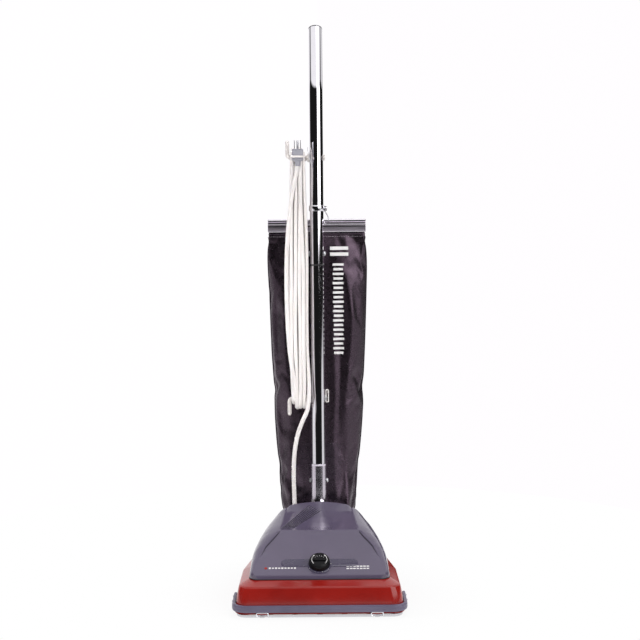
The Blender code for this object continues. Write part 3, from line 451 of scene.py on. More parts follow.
def coated_cloth(name, colour, light, weave=1500.0):
    """Dark coated bag cloth: a plain weave, sheen and rubbed folds."""
    n = Finish(name)
    threads = n.maths("MAXIMUM", *[n.wave(weave / 6.3, way, 0.6) for way in "XZ"])
    slub = n.noise(900, 2, stretch=(1, 1, 0.15))
    base = n.blend(n.ramp(n.noise(26, 5, 0.6), 0.5, 0.75, 0, 0.5), colour, light)
    base = n.blend(n.ramp(slub, 0.4, 0.8, 0, 0.35), base, darker(colour, 0.5))
    relief = n.bump(threads, 0.35, 0.00025)
    relief = n.bump(slub, 0.15, 0.0002, relief)
    relief = n.bump(n.noise(55, 3, 0.5, (1, 1, 0.5)), 0.22, 0.0022, relief)
    return n.set(Base_Color=base, Roughness=n.ramp(n.noise(120, 4), 0.3, 0.7, 0.23, 0.33), Normal=relief,
                 Sheen_Weight=0.05, Sheen_Roughness=0.35, Sheen_Tint=(0.85, 0.62, 0.80),
                 Specular_IOR_Level=0.90, Specular_Tint=(1.0, 0.72, 0.96))


def cord_cover(name, colour):
    """Cream vinyl with drawing lines along it, grubby places, and shade where strands meet."""
    n = Finish(name)
    base = n.blend(n.ramp(n.noise(30, 6, 0.65), 0.5, 0.8, 0, 0.55), colour, darker(colour, 0.82))
    base = n.blend(n.ramp(n.noise(5, 2), 0.4, 0.7, 0, 0.3), base, (0.80, 0.74, 0.72))
    near = n.made("ShaderNodeAmbientOcclusion", "AO", {"Distance": 0.009}, samples=8)
    base = n.blend(n.ramp(near, 0.18, 0.62, 1.0, 0.0), base, (0.20, 0.165, 0.15))
    return n.set(Base_Color=base, Roughness=n.ramp(n.noise(90, 4), 0.3, 0.7, 0.34, 0.5),
                 Normal=n.bump(n.noise(700, 3, 0.6, (1, 1, 0.08)), 0.12, 0.0002),
                 Subsurface_Weight=0.04, Subsurface_Radius=(0.004, 0.003, 0.002))


def turned_wood(name):
    n = Finish(name)
    grain = n.noise(160, 5, 0.6, (0.06, 1, 1))
    base = n.blend(n.wave(45, "Y", 6.0), (0.42, 0.27, 0.15), (0.55, 0.38, 0.22))
    base = n.blend(n.ramp(grain, 0.45, 0.7, 0, 0.6), base, (0.27, 0.16, 0.08))
    return n.set(Base_Color=base, Roughness=0.5, Normal=n.bump(grain, 0.2, 0.0003))


def cast_metal(name, colour, roughness):
    n = Finish(name)
    base = n.blend(n.ramp(n.noise(30, 4), 0.35, 0.7), colour, darker(colour, 0.7))
    return n.set(Base_Color=base, Metallic=1.0, Normal=n.bump(n.noise(300, 5, 0.7), 0.15, 0.0003),
                 Roughness=n.ramp(n.noise(80, 4), 0.3, 0.7, roughness * 0.8, roughness * 1.3))


RED = enamel("red_enamel", (0.31, 0.014, 0.010), 0.16)
HOOD = moulded("hood_plastic", (0.092, 0.076, 0.122), 0.20, grain=0.05, spread=0.05, coat=0.35)
# A darker copy of the hood plastic: painted shade of the recess round the knob.
RECESS_SHADE = moulded("hood_recess_shade", (0.044, 0.036, 0.070), 0.26, grain=0.05, spread=0.04, coat=0.3)
# A darker copy of the hood plastic for the ribs: painted shade.
SHADED_RIB = moulded("hood_rib_painted_shade", (0.022, 0.018, 0.032), 0.22, grain=0.05, spread=0.04, coat=0.3)
BUMPER = moulded("bumper_vinyl", (0.115, 0.10, 0.155), 0.42, grain=0.3)
CHROME = plated("bright_chrome", (0.86, 0.85, 0.89), 0.035, wear=0.5)
CAST = plated("cast_chrome", (0.72, 0.67, 0.75), 0.13, (1, 1, 12), 0.8)
BEAD = plated("bead_chrome", (0.95, 0.93, 0.97), 0.09, (1, 6, 6), 0.4)
SATIN = plated("satin_trim", (0.60, 0.54, 0.62), 0.34, (1, 6, 6), 0.8)
ZINC = plated("zinc_plate", (0.63, 0.63, 0.66), 0.26, (6, 6, 1), 1.0)
BLACK = moulded("black_plastic", (0.016, 0.016, 0.018), 0.34, grain=0.35)
GLOSS_BLACK = moulded("gloss_black", (0.006, 0.006, 0.007), 0.16, grain=0.02, ior=1.22)
RUBBER = moulded("black_rubber", (0.020, 0.020, 0.021), 0.62, grain=0.6, scale=500)
CLOTH = coated_cloth("bag_cloth", (0.0035, 0.0026, 0.0032), (0.0120, 0.0078, 0.0105))
BINDING = coated_cloth("bag_binding", (0.007, 0.006, 0.008), (0.020, 0.016, 0.022), 900.0)
PALE_THREAD = coated_cloth("pale_thread", (0.34, 0.31, 0.34), (0.52, 0.49, 0.52), 2500.0)
VINYL = cord_cover("cord_vinyl", (0.93, 0.895, 0.865))
CREAM = moulded("cream_plastic", (0.80, 0.76, 0.73), 0.36, grain=0.12, spread=0.04)
PLUG_GREY = moulded("plug_grey", (0.34, 0.34, 0.38), 0.28, grain=0.1, coat=0.3)
MARKS = moulded("white_marks", (0.80, 0.79, 0.78), 0.45, grain=0.2, spread=0.03)
WOOD = turned_wood("brush_wood")
NYLON = moulded("bristle_nylon", (0.018, 0.018, 0.020), 0.45, grain=0.2)
STEEL = cast_metal("lamination_steel", (0.50, 0.50, 0.51), 0.42)
FAN_GREY = moulded("fan_plastic", (0.13, 0.12, 0.16), 0.45)
CARBON = moulded("carbon", (0.03, 0.03, 0.03), 0.7, grain=0.6)

SLOTS = {
    "gloss_red": (RED,), "hood_grey": (HOOD, RECESS_SHADE, SHADED_RIB), "bumper_grey": (BUMPER,), "cord_vinyl": (VINYL,),
    "chrome": (CHROME, CAST, BEAD, SATIN), "zinc_steel": (ZINC,), "black_plastic": (BLACK, GLOSS_BLACK),
    "black_rubber": (RUBBER,), "bag_fabric": (CLOTH, BINDING, PALE_THREAD), "fan_grey": (FAN_GREY,),
    "hook_plastic": (CREAM, PLUG_GREY, MARKS), "brush_wood": (WOOD,), "bristle_nylon": (NYLON,),
}
SLOT_OF = {finish.name: slot for slot, finishes in SLOTS.items() for finish in finishes}


# ---------------------------------------------------------------- camera, floor and light
CAMERA_AT = (0.0052, -2.99, 0.8429)
CAMERA_DOWN = math.radians(5.272)
CAMERA_ROLL = math.radians(-0.48)
LENS = 82.9
WHITE_FROM, WHITE_BY = 0.12, 0.36   # how far out the floor starts to fade, and where it is wholly white


def camera():
    data = bpy.data.cameras.new("camera")
    data.lens = LENS
    data.sensor_width = 36
    made = shown("camera", data)
    made.matrix_world = (Matrix.Translation(CAMERA_AT)
                         @ Matrix.Rotation(math.pi / 2 - CAMERA_DOWN, 4, "X")
                         @ Matrix.Rotation(CAMERA_ROLL, 4, "Z"))
    bpy.context.scene.camera = made


def floor():
    """A pale disc that fades into the white room at its rim."""
    disc = shown("floor", lathe([(0, 0), (0.4, 0), (1.1, 0)], 96))
    n = Finish("floor_white")
    n.set(Base_Color=(0.94, 0.94, 0.94), Roughness=0.8)
    far = n.made("ShaderNodeVectorMath", "Value", {0: n.place}, operation="LENGTH")
    glow = n.made("ShaderNodeEmission", 0, {"Strength": 1.0})
    share = n.ramp(far, WHITE_FROM, WHITE_BY, 0.80, 1.0)
    mix = n.made("ShaderNodeMixShader", 0, {0: share, 1: n.shader.outputs[0], 2: glow})
    n.feed(n.tree.nodes["Material Output"].inputs["Surface"], mix)
    disc.data.materials.append(n.material)


def studio():
    """White to the camera; the finishes see dark flags with white cards between them."""
    scene = bpy.context.scene
    scene.view_settings.view_transform = "Standard"
    scene.world = bpy.data.worlds.new("studio")
    scene.world.use_nodes = True
    n = Nodes(scene.world.node_tree, "Generated")

    def times(*values):
        return n.maths("MULTIPLY", *values)
    parts = n.add("ShaderNodeSeparateXYZ")
    n.feed(parts.inputs[0], n.place)
    x, y, z = parts.outputs
    turn = times(n.maths("ARCTAN2", x, times(y, -1.0)), 180 / math.pi)      # 0 in front, 90 on the right
    rise = times(n.maths("ARCSINE", z), 180 / math.pi)
    around = n.maths("ABSOLUTE", turn)
    card = times(n.band(turn, 25, 70, 3), 3.0)
    low = n.maths("MAXIMUM", times(n.band(turn, -106, -54, 4), 0.9), times(n.band(turn, 62, 104, 4), 0.75))
    level = n.maths("ADD", times(card, n.ramp(rise, 2.5, 4.0)), times(low, n.ramp(rise, -2.0, -3.5)))
    behind = n.maths("MAXIMUM", n.ramp(turn, -116, -128),
                     times(n.ramp(turn, 112, 124), n.ramp(rise, 8, 12)))
    dark_patch = times(n.ramp(rise, 58, 66), n.ramp(around, 70, 100))
    above = times(n.ramp(rise, 24, 34), n.maths("SUBTRACT", 1.0, times(dark_patch, 0.95)))
    ground = times(n.ramp(rise, -8, -14), n.ramp(around, 25, 60))
    level = n.maths("MAXIMUM", n.maths("MAXIMUM", level, behind),
                    n.maths("MAXIMUM", above, times(ground, 0.8)))
    ray = n.add("ShaderNodeLightPath").outputs
    soft = n.maths("SUBTRACT", 1.0, times(ray["Is Diffuse Ray"], 0.62))
    strength = times(n.maths("ADD", level, 0.010), soft)
    sky = n.tree.nodes["Background"].inputs
    sky["Color"].default_value = (1.0, 0.985, 1.0, 1)
    n.feed(sky["Strength"], n.maths("MAXIMUM", strength, ray["Is Camera Ray"]))


def lamp(name, spot, target, size, power, colour=(1, 1, 1), spread=180):
    """A soft lamp that the glossy finishes don't mirror: they mirror the studio's cards."""
    data = bpy.data.lights.new(name, "AREA")
    data.shape = "RECTANGLE"
    data.size, data.size_y = size
    data.energy = power
    data.color = colour
    data.spread = math.radians(spread)
    made = shown(name, data)
    made.location = spot
    made.rotation_euler = (Vector(target) - Vector(spot)).to_track_quat("-Z", "Y").to_euler()
    made.visible_glossy = False
    made.visible_camera = False


def lights():
    lamp("front_fill", (-0.5, -2.6, 1.5), (0, 0, 0.45), (1.6, 1.2), 15)
    lamp("left_card", (-1.7, -0.5, 0.9), (0, 0.1, 0.5), (0.5, 1.6), 12, (0.97, 0.92, 1.0))
    lamp("right_card", (1.7, -0.7, 0.9), (0, 0.1, 0.6), (0.5, 1.6), 6, (0.95, 0.90, 1.0))
    lamp("overhead", (0, 0.5, 2.6), (0, 0, 0.2), (1.8, 1.6), 26)
    lamp("cord_fill", (-0.35, -1.6, 0.72), (-0.03, 0.06, 0.66), (0.4, 0.4), 0.45, spread=36)


# ---------------------------------------------------------------- cord
CORD_D = 0.0088
EXIT = Vector((-0.0515, 0.0585, 0.160))
HOOK_LOW = 0.308            # heights along the handle, measured from its pivot
HOOK_HIGH = 0.813
HOOK_X = -0.0605
HOOK_R = 0.0042
LAYERS = (0.0092, 0.0182)   # distance of each layer's centre line from the hooks' axes
INNER_X = (-0.0235, -0.0322, -0.0409, -0.0496)
OUTER_X = (-0.0512, -0.0445, -0.0372, -0.0290)
OUTER_END = -0.0440
INNER_BOWS = ((0.0028, 0.0010), (0.0020, -0.001), (0.0006, -0.003), (-0.0010, -0.005))
OUTER_BOWS = ((-0.0055, -0.005), (-0.0030, -0.004), (-0.0006, 0.001), (0.0022, 0.002))
TURN_POINTS = 64
PLUG = Vector((-0.0385, -0.0305, 0.817))
FREE_STRETCH = [(-0.0515, 0.0585, 0.15), (-0.0515, 0.0585, 0.1603), (-0.0517, 0.058, 0.19),
                (-0.0525, 0.056, 0.23), (-0.0515, 0.0535, 0.27), (-0.048, 0.052, 0.3),
                (-0.041, 0.0515, 0.33), (-0.031, 0.053, 0.355), (-0.0225, 0.056, 0.374)]
ONTO_HOOKS = [(-0.019, -0.02, 0.318), (-0.0196, -0.015, 0.35)]
UP_TO_PLUG = [(-0.048, -0.024, 0.335), (-0.059, -0.02, 0.41), (-0.0636, -0.0185, 0.5),
              (-0.064, -0.0185, 0.58), (-0.06, -0.0205, 0.66), (-0.05, -0.0268, 0.74),
              (-0.041, -0.03, 0.78), (-0.0385, -0.0305, 0.8)]


def racetrack(radius, share):
    """Back and up of a point that share of the way round the two hooks, from the low hook's front."""
    span = HOOK_HIGH - HOOK_LOW
    bend = math.pi * radius
    along = share * 2 * (span + bend)
    if along < span:
        return -radius, HOOK_LOW + along, along / span
    along -= span
    if along < bend:
        turn = along / radius
        return -radius * math.cos(turn), HOOK_HIGH + radius * math.sin(turn), 0
    along -= bend
    if along < span:
        return radius, HOOK_HIGH - along, along / span
    turn = (along - span) / radius
    return radius * math.cos(turn), HOOK_LOW - radius * math.sin(turn), 0


def turn_points(radius, start_x, end_x, bows, chance):
    """One turn round both hooks; bows are how far its front and back strands swing sideways."""
    points = []
    ripple = chance.uniform(0, 6.28)
    for k in range(TURN_POINTS):
        share = k / TURN_POINTS
        back, up, straight = racetrack(radius, share)
        swing = math.sin(math.pi * straight) ** 0.8 if straight else 0
        x = start_x + (end_x - start_x) * share + bows[back >= 0] * swing
        x += 0.0011 * swing * math.sin(9 * straight + ripple)
        back += 0.0009 * swing * math.sin(7 * straight + ripple)
        points.append(Vector((x, back, up)))
    return points


def layer(radius, lanes, after, bows, chance):
    """Turns side by side; the last one leads over to the lane that follows."""
    ends = lanes[1:] + (after,)
    return [turn_points(radius, *spot, chance) for spot in zip(lanes, ends, bows)]


def cord_path():
    chance = random.Random(7)
    to_local = HANDLE.inverted()
    points = [to_local @ Vector(spot) for spot in FREE_STRETCH]
    points += [Vector(spot) for spot in ONTO_HOOKS]
    turns = layer(LAYERS[0], INNER_X, OUTER_X[0], INNER_BOWS, chance)
    turns += layer(LAYERS[1], OUTER_X, OUTER_END, OUTER_BOWS, chance)
    turns[0] = turns[0][6:]
    for k, spot in enumerate(turns[-1][46:]):
        spot.y += 0.0045 * min(1, (k + 1) / 10)
    points += [spot for turn in turns for spot in turn]
    points += [Vector(spot) for spot in UP_TO_PLUG]
    return [HANDLE @ point for point in smooth_path(points, 2)]


def plug():
    """Moulded plug with a ribbed grip, two blades and a round pin."""
    place = HANDLE @ Matrix.Translation(PLUG)
    grips = [moved(slab(rounded_rect(0.0122 - 0.0004 * k, 0.0077 - 0.0003 * k, 0.0048),
                        -0.0007, 0.0007, 0.0005), at(0, 0, -0.0095 + 0.003 * k)) for k in range(5)]
    tail = lathe([(0, -0.0235), (0.0052, -0.0235), (0.0056, -0.0228), (0.005, -0.0218), (0.0057, -0.0206),
                  (0.0052, -0.0192), (0.006, -0.0178), (0.0056, -0.0162), (0.0068, -0.0142), (0.0074, -0.012),
                  (0, -0.012)], 28)
    body = slab(rounded_rect(0.0118, 0.0074, 0.0046), -0.0125, 0.0125, 0.0022)
    body = piece("plug_body", [body, tail, *grips], PLUG_GREY, "handle", ("cord_plug",), place)
    blades = [moved(block((0.0015, 0.0062, 0.018), 0.0003), at(side * 0.0063, -0.001, 0.0212))
              for side in (-1, 1)]
    pin = lathe([(0, 0.012), (0.0022, 0.012), (0.0022, 0.029), (0.0012, 0.0306), (0, 0.0306)], 20)
    prongs = piece("plug_prongs", [*blades, moved(pin, at(0, 0.004, 0))], ZINC, "handle", place=place)
    half = [(0.0105, -0.009, 0), (0.0135, -0.006, 0), (0.0135, 0.009, 0)]
    wire = smooth_path([(-x, y, z) for x, y, z in reversed(half)] + half)
    clip = piece("plug_clip", sweep(wire, 0.0011, 10, section=oval(2.4, 0.7)), CREAM, "handle",
                 place=place @ at(0, 0, -0.004))
    return [body, prongs, clip]


def cord():
    path = cord_path()
    made = piece("power_cord", sweep(path, CORD_D / 2, 14), VINYL, None, ("cord_lead", "cord_hank"))
    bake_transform(made)
    [tuple(p) for p in path]
    plug()


HOOK_REACH = 0.036
HOOK_BEND = 0.007
TIP_STEPS = 6


def hook_arm(way):
    """Arm out of the tube and a finger up or down, with a round end."""
    path = [(-0.015, 0, 0), (-0.03, 0, 0), (HOOK_X + 0.01, 0, 0)]
    path += [(HOOK_X + HOOK_BEND * (1 - math.sin(t)), 0, way * HOOK_BEND * (1 - math.cos(t)))
             for t in (0, 0.4, 0.8, 1.2, math.pi / 2)]
    path += [(HOOK_X, 0, way * HOOK_REACH * share) for share in (0.35, 0.6, 0.85)]
    path += [(HOOK_X, 0, way * HOOK_REACH * (0.85 + 0.15 * math.sin(k / TIP_STEPS * math.pi / 2)))
             for k in range(1, TIP_STEPS + 1)]
    last = len(path) - 1

    def radius(share):
        at_end = max(0.0, (share - 1) * last + TIP_STEPS)
        return max(0.0004, HOOK_R * math.cos(at_end / TIP_STEPS * math.pi / 2 * 0.98))
    return sweep(path, radius, 20)


def hooks():
    """Cream hooks: a flanged boss against the tube, an arm and a rounded finger."""
    for word, height, way, body, screw in (("low", HOOK_LOW, -1, "handle", ZINC),
                                           ("high", HOOK_HIGH, 1, "cord_release_hook", CREAM)):
        place = HANDLE @ at(0, 0, height)
        node = "upper_hook" if way > 0 else "lower_hook"
        boss = lathe([(0, 0.0148), (0.0088, 0.0148), (0.0095, 0.0155), (0.0095, 0.0172), (0.0088, 0.0182),
                      (0.0062, 0.0186), (0.0052, 0.0215), (0, 0.0215)], 36)
        rib = moved(block((0.026, 0.0016, 0.0066), 0.0004), at(-0.034, 0, -way * 0.004))
        piece(f"cord_hook_{word}", [hook_arm(way), moved(boss, about("Y", -90)), rib], CREAM, body,
              (node,), place)
        head = lathe([(0, 0.0146), (0.0066, 0.0146), (0.0068, 0.0152), (0.006, 0.0156), (0.006, 0.0178),
                      (0.0052, 0.0184), (0, 0.0184)], 24)
        shank = lathe([(0, -0.0135), (0.0026, -0.0135), (0.0026, 0.015), (0, 0.015)], 16)
        piece(f"cord_hook_{word}_nut", [lying(head), lying(shank)], screw, "handle",
              (f"{node}_screw",), place, "zinc_steel")


# ---------------------------------------------------------------- hood
# Each curve below gives (distance back from the bumper's front, value).
HOOD_FOOT = 0.0704
LIP = 0.0345
LIP_BACK = 0.038            # where the lip has turned into the panel
CREASE = 0.140
HOOD_REAR = 0.2412
PANEL_LOW = 0.0797
PANEL_HIGH = 0.1438
PANEL_HALF = ((0.0345, 0.119), (0.0352, 0.1225), (0.0365, 0.1262), (0.038, 0.129), (0.07, 0.123),
              (0.088, 0.1128), (0.1, 0.1075), (0.125, 0.088), (0.14, 0.0795), (0.165, 0.076),
              (0.185, 0.0735), (0.205, 0.0715), (0.222, 0.0695), (0.2412, 0.068))
FOOT_HALF = ((0.0545, 0.1385), (0.1, 0.138), (0.125, 0.1365), (0.146, 0.1335), (0.165, 0.131),
             (0.185, 0.128), (0.205, 0.124), (0.222, 0.119), (0.234, 0.115), (0.2412, 0.112))
MIDDLE_Z = ((0.14, 0.1438), (0.16, 0.145), (0.18, 0.149), (0.2, 0.156), (0.22, 0.1665), (0.235, 0.176),
            (0.2412, 0.1798))
RIDGE_Z = ((0.14, 0.144), (0.165, 0.15), (0.185, 0.154), (0.205, 0.158), (0.222, 0.162), (0.234, 0.1655),
           (0.2412, 0.1668))
INNER_HALF = ((0.14, 0.0315), (0.18, 0.036), (0.2, 0.0415), (0.22, 0.05), (0.235, 0.058), (0.2412, 0.0605))
INNER_Z = ((0.14, 0.1438), (0.18, 0.149), (0.2, 0.155), (0.22, 0.1625), (0.235, 0.1706), (0.2412, 0.173))
STEP_UP = ((0.06, 0.0), (0.072, 0.0003), (0.08, 0.0009), (0.088, 0.0018), (0.1, 0.0028), (0.138, 0.0034),
           (0.146, 0.0022), (0.155, 0.0009), (0.17, 0.0))
FULLNESS = ((0.045, 2.0), (0.07, 2.25), (0.15, 2.25), (0.2, 2.05), (0.2412, 1.72))   # of the shoulder
FOOT_CORNER = 0.020
BEND_START = 0.118          # the shoulder runs smoothly past the crease between these
BEND_END = 0.180
BEND_SLOPES = (0.628, 0.210)
TOP_STEPS, FLANK_STEPS, SHOULDER_STEPS = 8, 6, 18
RIBS = 7
AHEAD = Vector((0, 0.975, -0.223))   # the ribs look straight along this direction


def follow(table, place):
    """A value from (place, value) pairs, in straight lines between neighbours."""
    if place <= table[0][0]:
        return table[0][1]
    for (a, low), (b, high) in zip(table, table[1:]):
        if place <= b:
            return low + (high - low) * (place - a) / (b - a)
    return table[-1][1]


def eased(t, low, high, slope_low, slope_high):
    """A smooth curve from low to high as t goes from 0 to 1, with those slopes at its ends."""
    return ((2 * t ** 3 - 3 * t ** 2 + 1) * low + (t ** 3 - 2 * t ** 2 + t) * slope_low
            + (3 * t ** 2 - 2 * t ** 3) * high + (t ** 3 - t ** 2) * slope_high)


def corner_inset(radius, distance):
    """How far a round corner has drawn its side in, at a distance from its end."""
    short = max(0.0, radius - distance)
    return radius - math.sqrt(max(0.0, radius ** 2 - short ** 2))


def hood_foot(depth):
    return follow(FOOT_HALF, depth) - corner_inset(FOOT_CORNER, depth - LIP)


def panel_height(depth):
    lip = min(1.0, (depth - LIP) / 0.0035)
    if lip < 1:
        return HOOD_FOOT + (PANEL_LOW - HOOD_FOOT) * math.sin(lip * math.pi / 2) ** 0.7
    return PANEL_LOW + (PANEL_HIGH - PANEL_LOW) * (depth - LIP_BACK) / (CREASE - LIP_BACK)


def shoulder_top(depth):
    """Height of the shoulder beside the top's edge."""
    if not BEND_START < depth < BEND_END:
        return (panel_height(depth) if depth < CREASE else follow(RIDGE_Z, depth)) + follow(STEP_UP, depth)
    length = BEND_END - BEND_START
    return eased((depth - BEND_START) / length, panel_height(BEND_START) + follow(STEP_UP, BEND_START),
                 follow(RIDGE_Z, BEND_END), *[slope * length for slope in BEND_SLOPES])


def hood_half(depth, ceiling):
    """Points (x, z) from the middle of the hood down to its foot."""
    foot = hood_foot(depth)
    edge = min(follow(PANEL_HALF, depth), foot - 0.0004) - 0.0012
    middle = ridge = inner_z = panel_height(depth)
    if depth >= CREASE:
        middle, ridge, inner_z = (follow(table, depth) for table in (MIDDLE_Z, RIDGE_Z, INNER_Z))
    rise = shoulder_top(depth) - ridge
    inner = follow(INNER_HALF, depth)
    half = [(inner * k / TOP_STEPS, middle + (inner_z - middle) * (k / TOP_STEPS) ** 2)
            for k in range(TOP_STEPS + 1)]
    half += [(inner + (edge - inner) * k / FLANK_STEPS, inner_z + (ridge - inner_z) * k / FLANK_STEPS)
             for k in range(1, FLANK_STEPS + 1)]
    half += [(edge + out, ridge + rise * up)
             for out, up in ((0.0003, -0.15), (0.0006, 0.45), (0.001, 0.85), (0.0018, 1.0))]
    start, height = half[-1]
    power = 2 / follow(FULLNESS, depth)
    for k in range(1, SHOULDER_STEPS + 1):
        turn = math.pi / 2 * k / SHOULDER_STEPS
        half.append((start + (foot - start) * math.sin(turn) ** power,
                     HOOD_FOOT + (height - HOOD_FOOT) * max(0.0, math.cos(turn)) ** power))
    return [(x, min(z, ceiling)) for x, z in half]


def hood_row(depth, ceiling=1.0, sunk=0.0):
    half = hood_half(depth, ceiling)
    arch = [(-x, z) for x, z in reversed(half[1:])] + half
    return [(x, FRONT + depth + sunk, z) for x, z in arch]


def hood_surface():
    depths = [0.0345, 0.0348, 0.0352, 0.0358, 0.0365, 0.0373, 0.038, 0.039, 0.0405, 0.0425, 0.045]
    depths += [0.048 + 0.004 * k for k in range(23)] + [0.1385, 0.1393, 0.14, 0.1407, 0.1415]
    depths += [0.144 + 0.004 * k for k in range(24)] + [0.2385, 0.24]
    rows = [[(x, y, HOOD_FOOT) for x, y, _ in hood_row(depths[0])]]
    rows += [hood_row(depth) for depth in depths[1:]]
    rows.append(hood_row(0.2410, sunk=0.0004))
    rows.append([(x, y, z - 0.0012) for x, y, z in hood_row(HOOD_REAR, sunk=0.0012)])
    rows.append(hood_row(HOOD_REAR, ceiling=0.141, sunk=0.0012))
    return rows


def hood_ribs(tree):
    """Fine ribs fanned over the back of the hood, laid on its surface."""
    ribs = []
    for k in range(RIBS):
        start = Vector((-0.0785 + 0.0035 * k, FRONT + 0.144, 0.144))
        end = Vector((-0.019 + 0.004 * k, FRONT + 0.233 - 0.0022 * k, 0.175 - 0.0014 * k))
        path = [tree.ray_cast(start.lerp(end, i / 24) - 0.2 * AHEAD, AHEAD)[0] + Vector((0, -0.0001, 0.0002))
                for i in range(25)]
        ribs.append(sweep(path, lambda s: 0.0008 * min(1, 0.2 + 6 * min(s, 1 - s)), 8))
    # The ribs take the darker rib finish: painted shade.
    piece("hood_ribs", ribs, SHADED_RIB, "base")


def hood_shade_lines():
    """Dark lines along the panel's edges where they drop to the shoulders, painted shade of those creases,
    and a dark strip below the foot, painted shade of the gap there.
    """
    edges = []
    for side in (-1, 1):
        path = []
        for i in range(30):
            depth = min(0.080 + 0.0019 * i, 0.1385)
            low = panel_height(depth)
            path.append((side * (follow(PANEL_HALF, depth) - 0.0008), FRONT + depth,
                         low + 0.25 * (shoulder_top(depth) - low)))
        edges.append(sweep(path, lambda s: 0.0006 * min(1, 0.1 + 3 * s), 8))
    # Black tubes along the creases: painted shade.
    piece("hood_shade_lines", edges, BLACK, "base")
    depths = [LIP + d for d in (0, 0.0007, 0.002, 0.0045, 0.008, 0.012, 0.016)]
    depths += [d for d in (0.0545 + 0.0062 * k for k in range(31)) if d < HOOD_REAR]
    right = [(hood_foot(d), FRONT + d, HOOD_FOOT - 0.0004) for d in depths]
    left = [(-x, y, z) for x, y, z in reversed(right)]
    # A black strip round the foot: painted shade of the gap under the hood.
    piece("hood_gap_shade", sweep(left + right, 0.001, 8), RUBBER, "base")


def hood_marks():
    """Plain dashes and a dot printed on the panel, and a darker band and ring round the knob: painted shade
    of the recess there.
    """
    stripes = [moved(block((0.0042, 0.003 if k % 2 else 0.0038, 0.0004), 0.0001),
                     KNOB @ at(-0.098 + 0.0062 * k, -0.0098, 0.0002)) for k in range(9)]
    stripes += [moved(block((0.0052, 0.0028, 0.0004), 0.0001), KNOB @ at(0.056 + 0.0066 * k, low, 0.0002))
                for k in range(7) for low in (-0.0062, -0.0122)]
    piece("hood_stripes", stripes, MARKS, "base")
    circle = [(0.003 * math.cos(t), 0.003 * math.sin(t)) for t in (math.pi * k / 12 for k in range(24))]
    dot = moved(slab(circle, -0.0002, 0.0004, 0.0001), KNOB @ at(-0.106, -0.0098, 0))
    piece("hood_dot", dot, RED, "base")
    # Painted shade: the darker band and ring round the knob stand in for the recess's shade.
    recess_shade_band = moved(slab(rounded_rect(0.076, 0.01, 0.0099, 10), 0.0, 0.0007, 0.0003), KNOB @ at(0, 0.0035, 0))
    ring = lathe([(0.0108, -0.0005), (0.0108, 0.0016), (0.0232, 0.0016), (0.0243, 0.001), (0.0246, -0.0005)],
                 72, ring=True)
    piece("hood_recess_shade", [recess_shade_band, moved(ring, KNOB)], RECESS_SHADE, "base")


def hood():
    mesh = loft(hood_surface(), closed=False, sharp=32, first=False, last=False)
    tree = tree_of(mesh)
    made = shaped(mesh, wall(0.0024), cutting(moved(rod(0.0105, 0.02, 40), KNOB)))
    piece("hood_shell", made, HOOD, "base", ("hood",))
    hood_ribs(tree)
    hood_shade_lines()
    hood_marks()


ARROW_R = 0.0152
ARROW_END = 42
MARKS_UP = 0.0139


def dial_marks():
    """Two curved arrows and a fan of ticks on the knob."""
    marks = []
    for side in (-1, 1):
        path = [(ARROW_R * math.cos(math.radians(a)) * side, ARROW_R * math.sin(math.radians(a)), MARKS_UP)
                for a in range(-ARROW_END, ARROW_END + 1, 6)]
        marks.append(sweep(path, 0.0007, 6, section=oval(1.0, 0.55)))
        x, y, _ = path[-1]
        head = [(x - side * 0.0014, y - 0.001), (x + side * 0.0018, y - 0.0004),
                (x - side * 0.002, y + 0.0026)]
        marks.append(slab(head[::side], 0.0136, 0.0141, 0.0001))
    for k in range(-2, 3):
        tick = block((0.0008, 0.0018, 0.0004), 0.0001)
        marks.append(moved(tick, at(0.01012 * math.sin(0.45 * k), 0.0102 * math.cos(0.45 * k) - 0.0005,
                                    MARKS_UP, about("Z", -14 * k))))
    piece("dial_marks", marks, MARKS, "knob", place=KNOB)


def knob():
    """Turned knob with a fluted skirt and a grip bar, over a scale of ticks."""
    def flutes(turn):
        cut = 0.0004 * (0.5 + 0.5 * math.cos(36 * turn))
        return lambda r: r - cut if 0.019 < r < 0.0215 else r
    skirt = lathe([(0, 0.003), (0.021, 0.003), (0.0216, 0.0036), (0.0214, 0.0062), (0.0203, 0.0108),
                   (0.0196, 0.0124), (0.0178, 0.0134), (0.012, 0.0137), (0, 0.0137)], 144, flutes=flutes)
    stem = lathe([(0, -0.0042), (0.0083, -0.0042), (0.0083, 0.0045), (0, 0.0045)], 40)
    bar = slab(rounded_rect(0.0142, 0.0034, 0.0032, 8), 0.013, 0.0166, 0.0012)
    piece("height_dial", [skirt, stem, bar], GLOSS_BLACK, "knob", ("height_knob",), KNOB)
    dial_marks()
    scale = []
    for k in range(9):
        turn = -60 + 37.5 * k
        tick = block((0.0007, 0.0009 if k % 2 else 0.0014, 0.0003), 0.0001)
        scale.append(moved(tick, KNOB @ about("Z", -turn) @ at(0, 0.0226, 0.0017)))
    piece("dial_scale", scale, MARKS, "base")


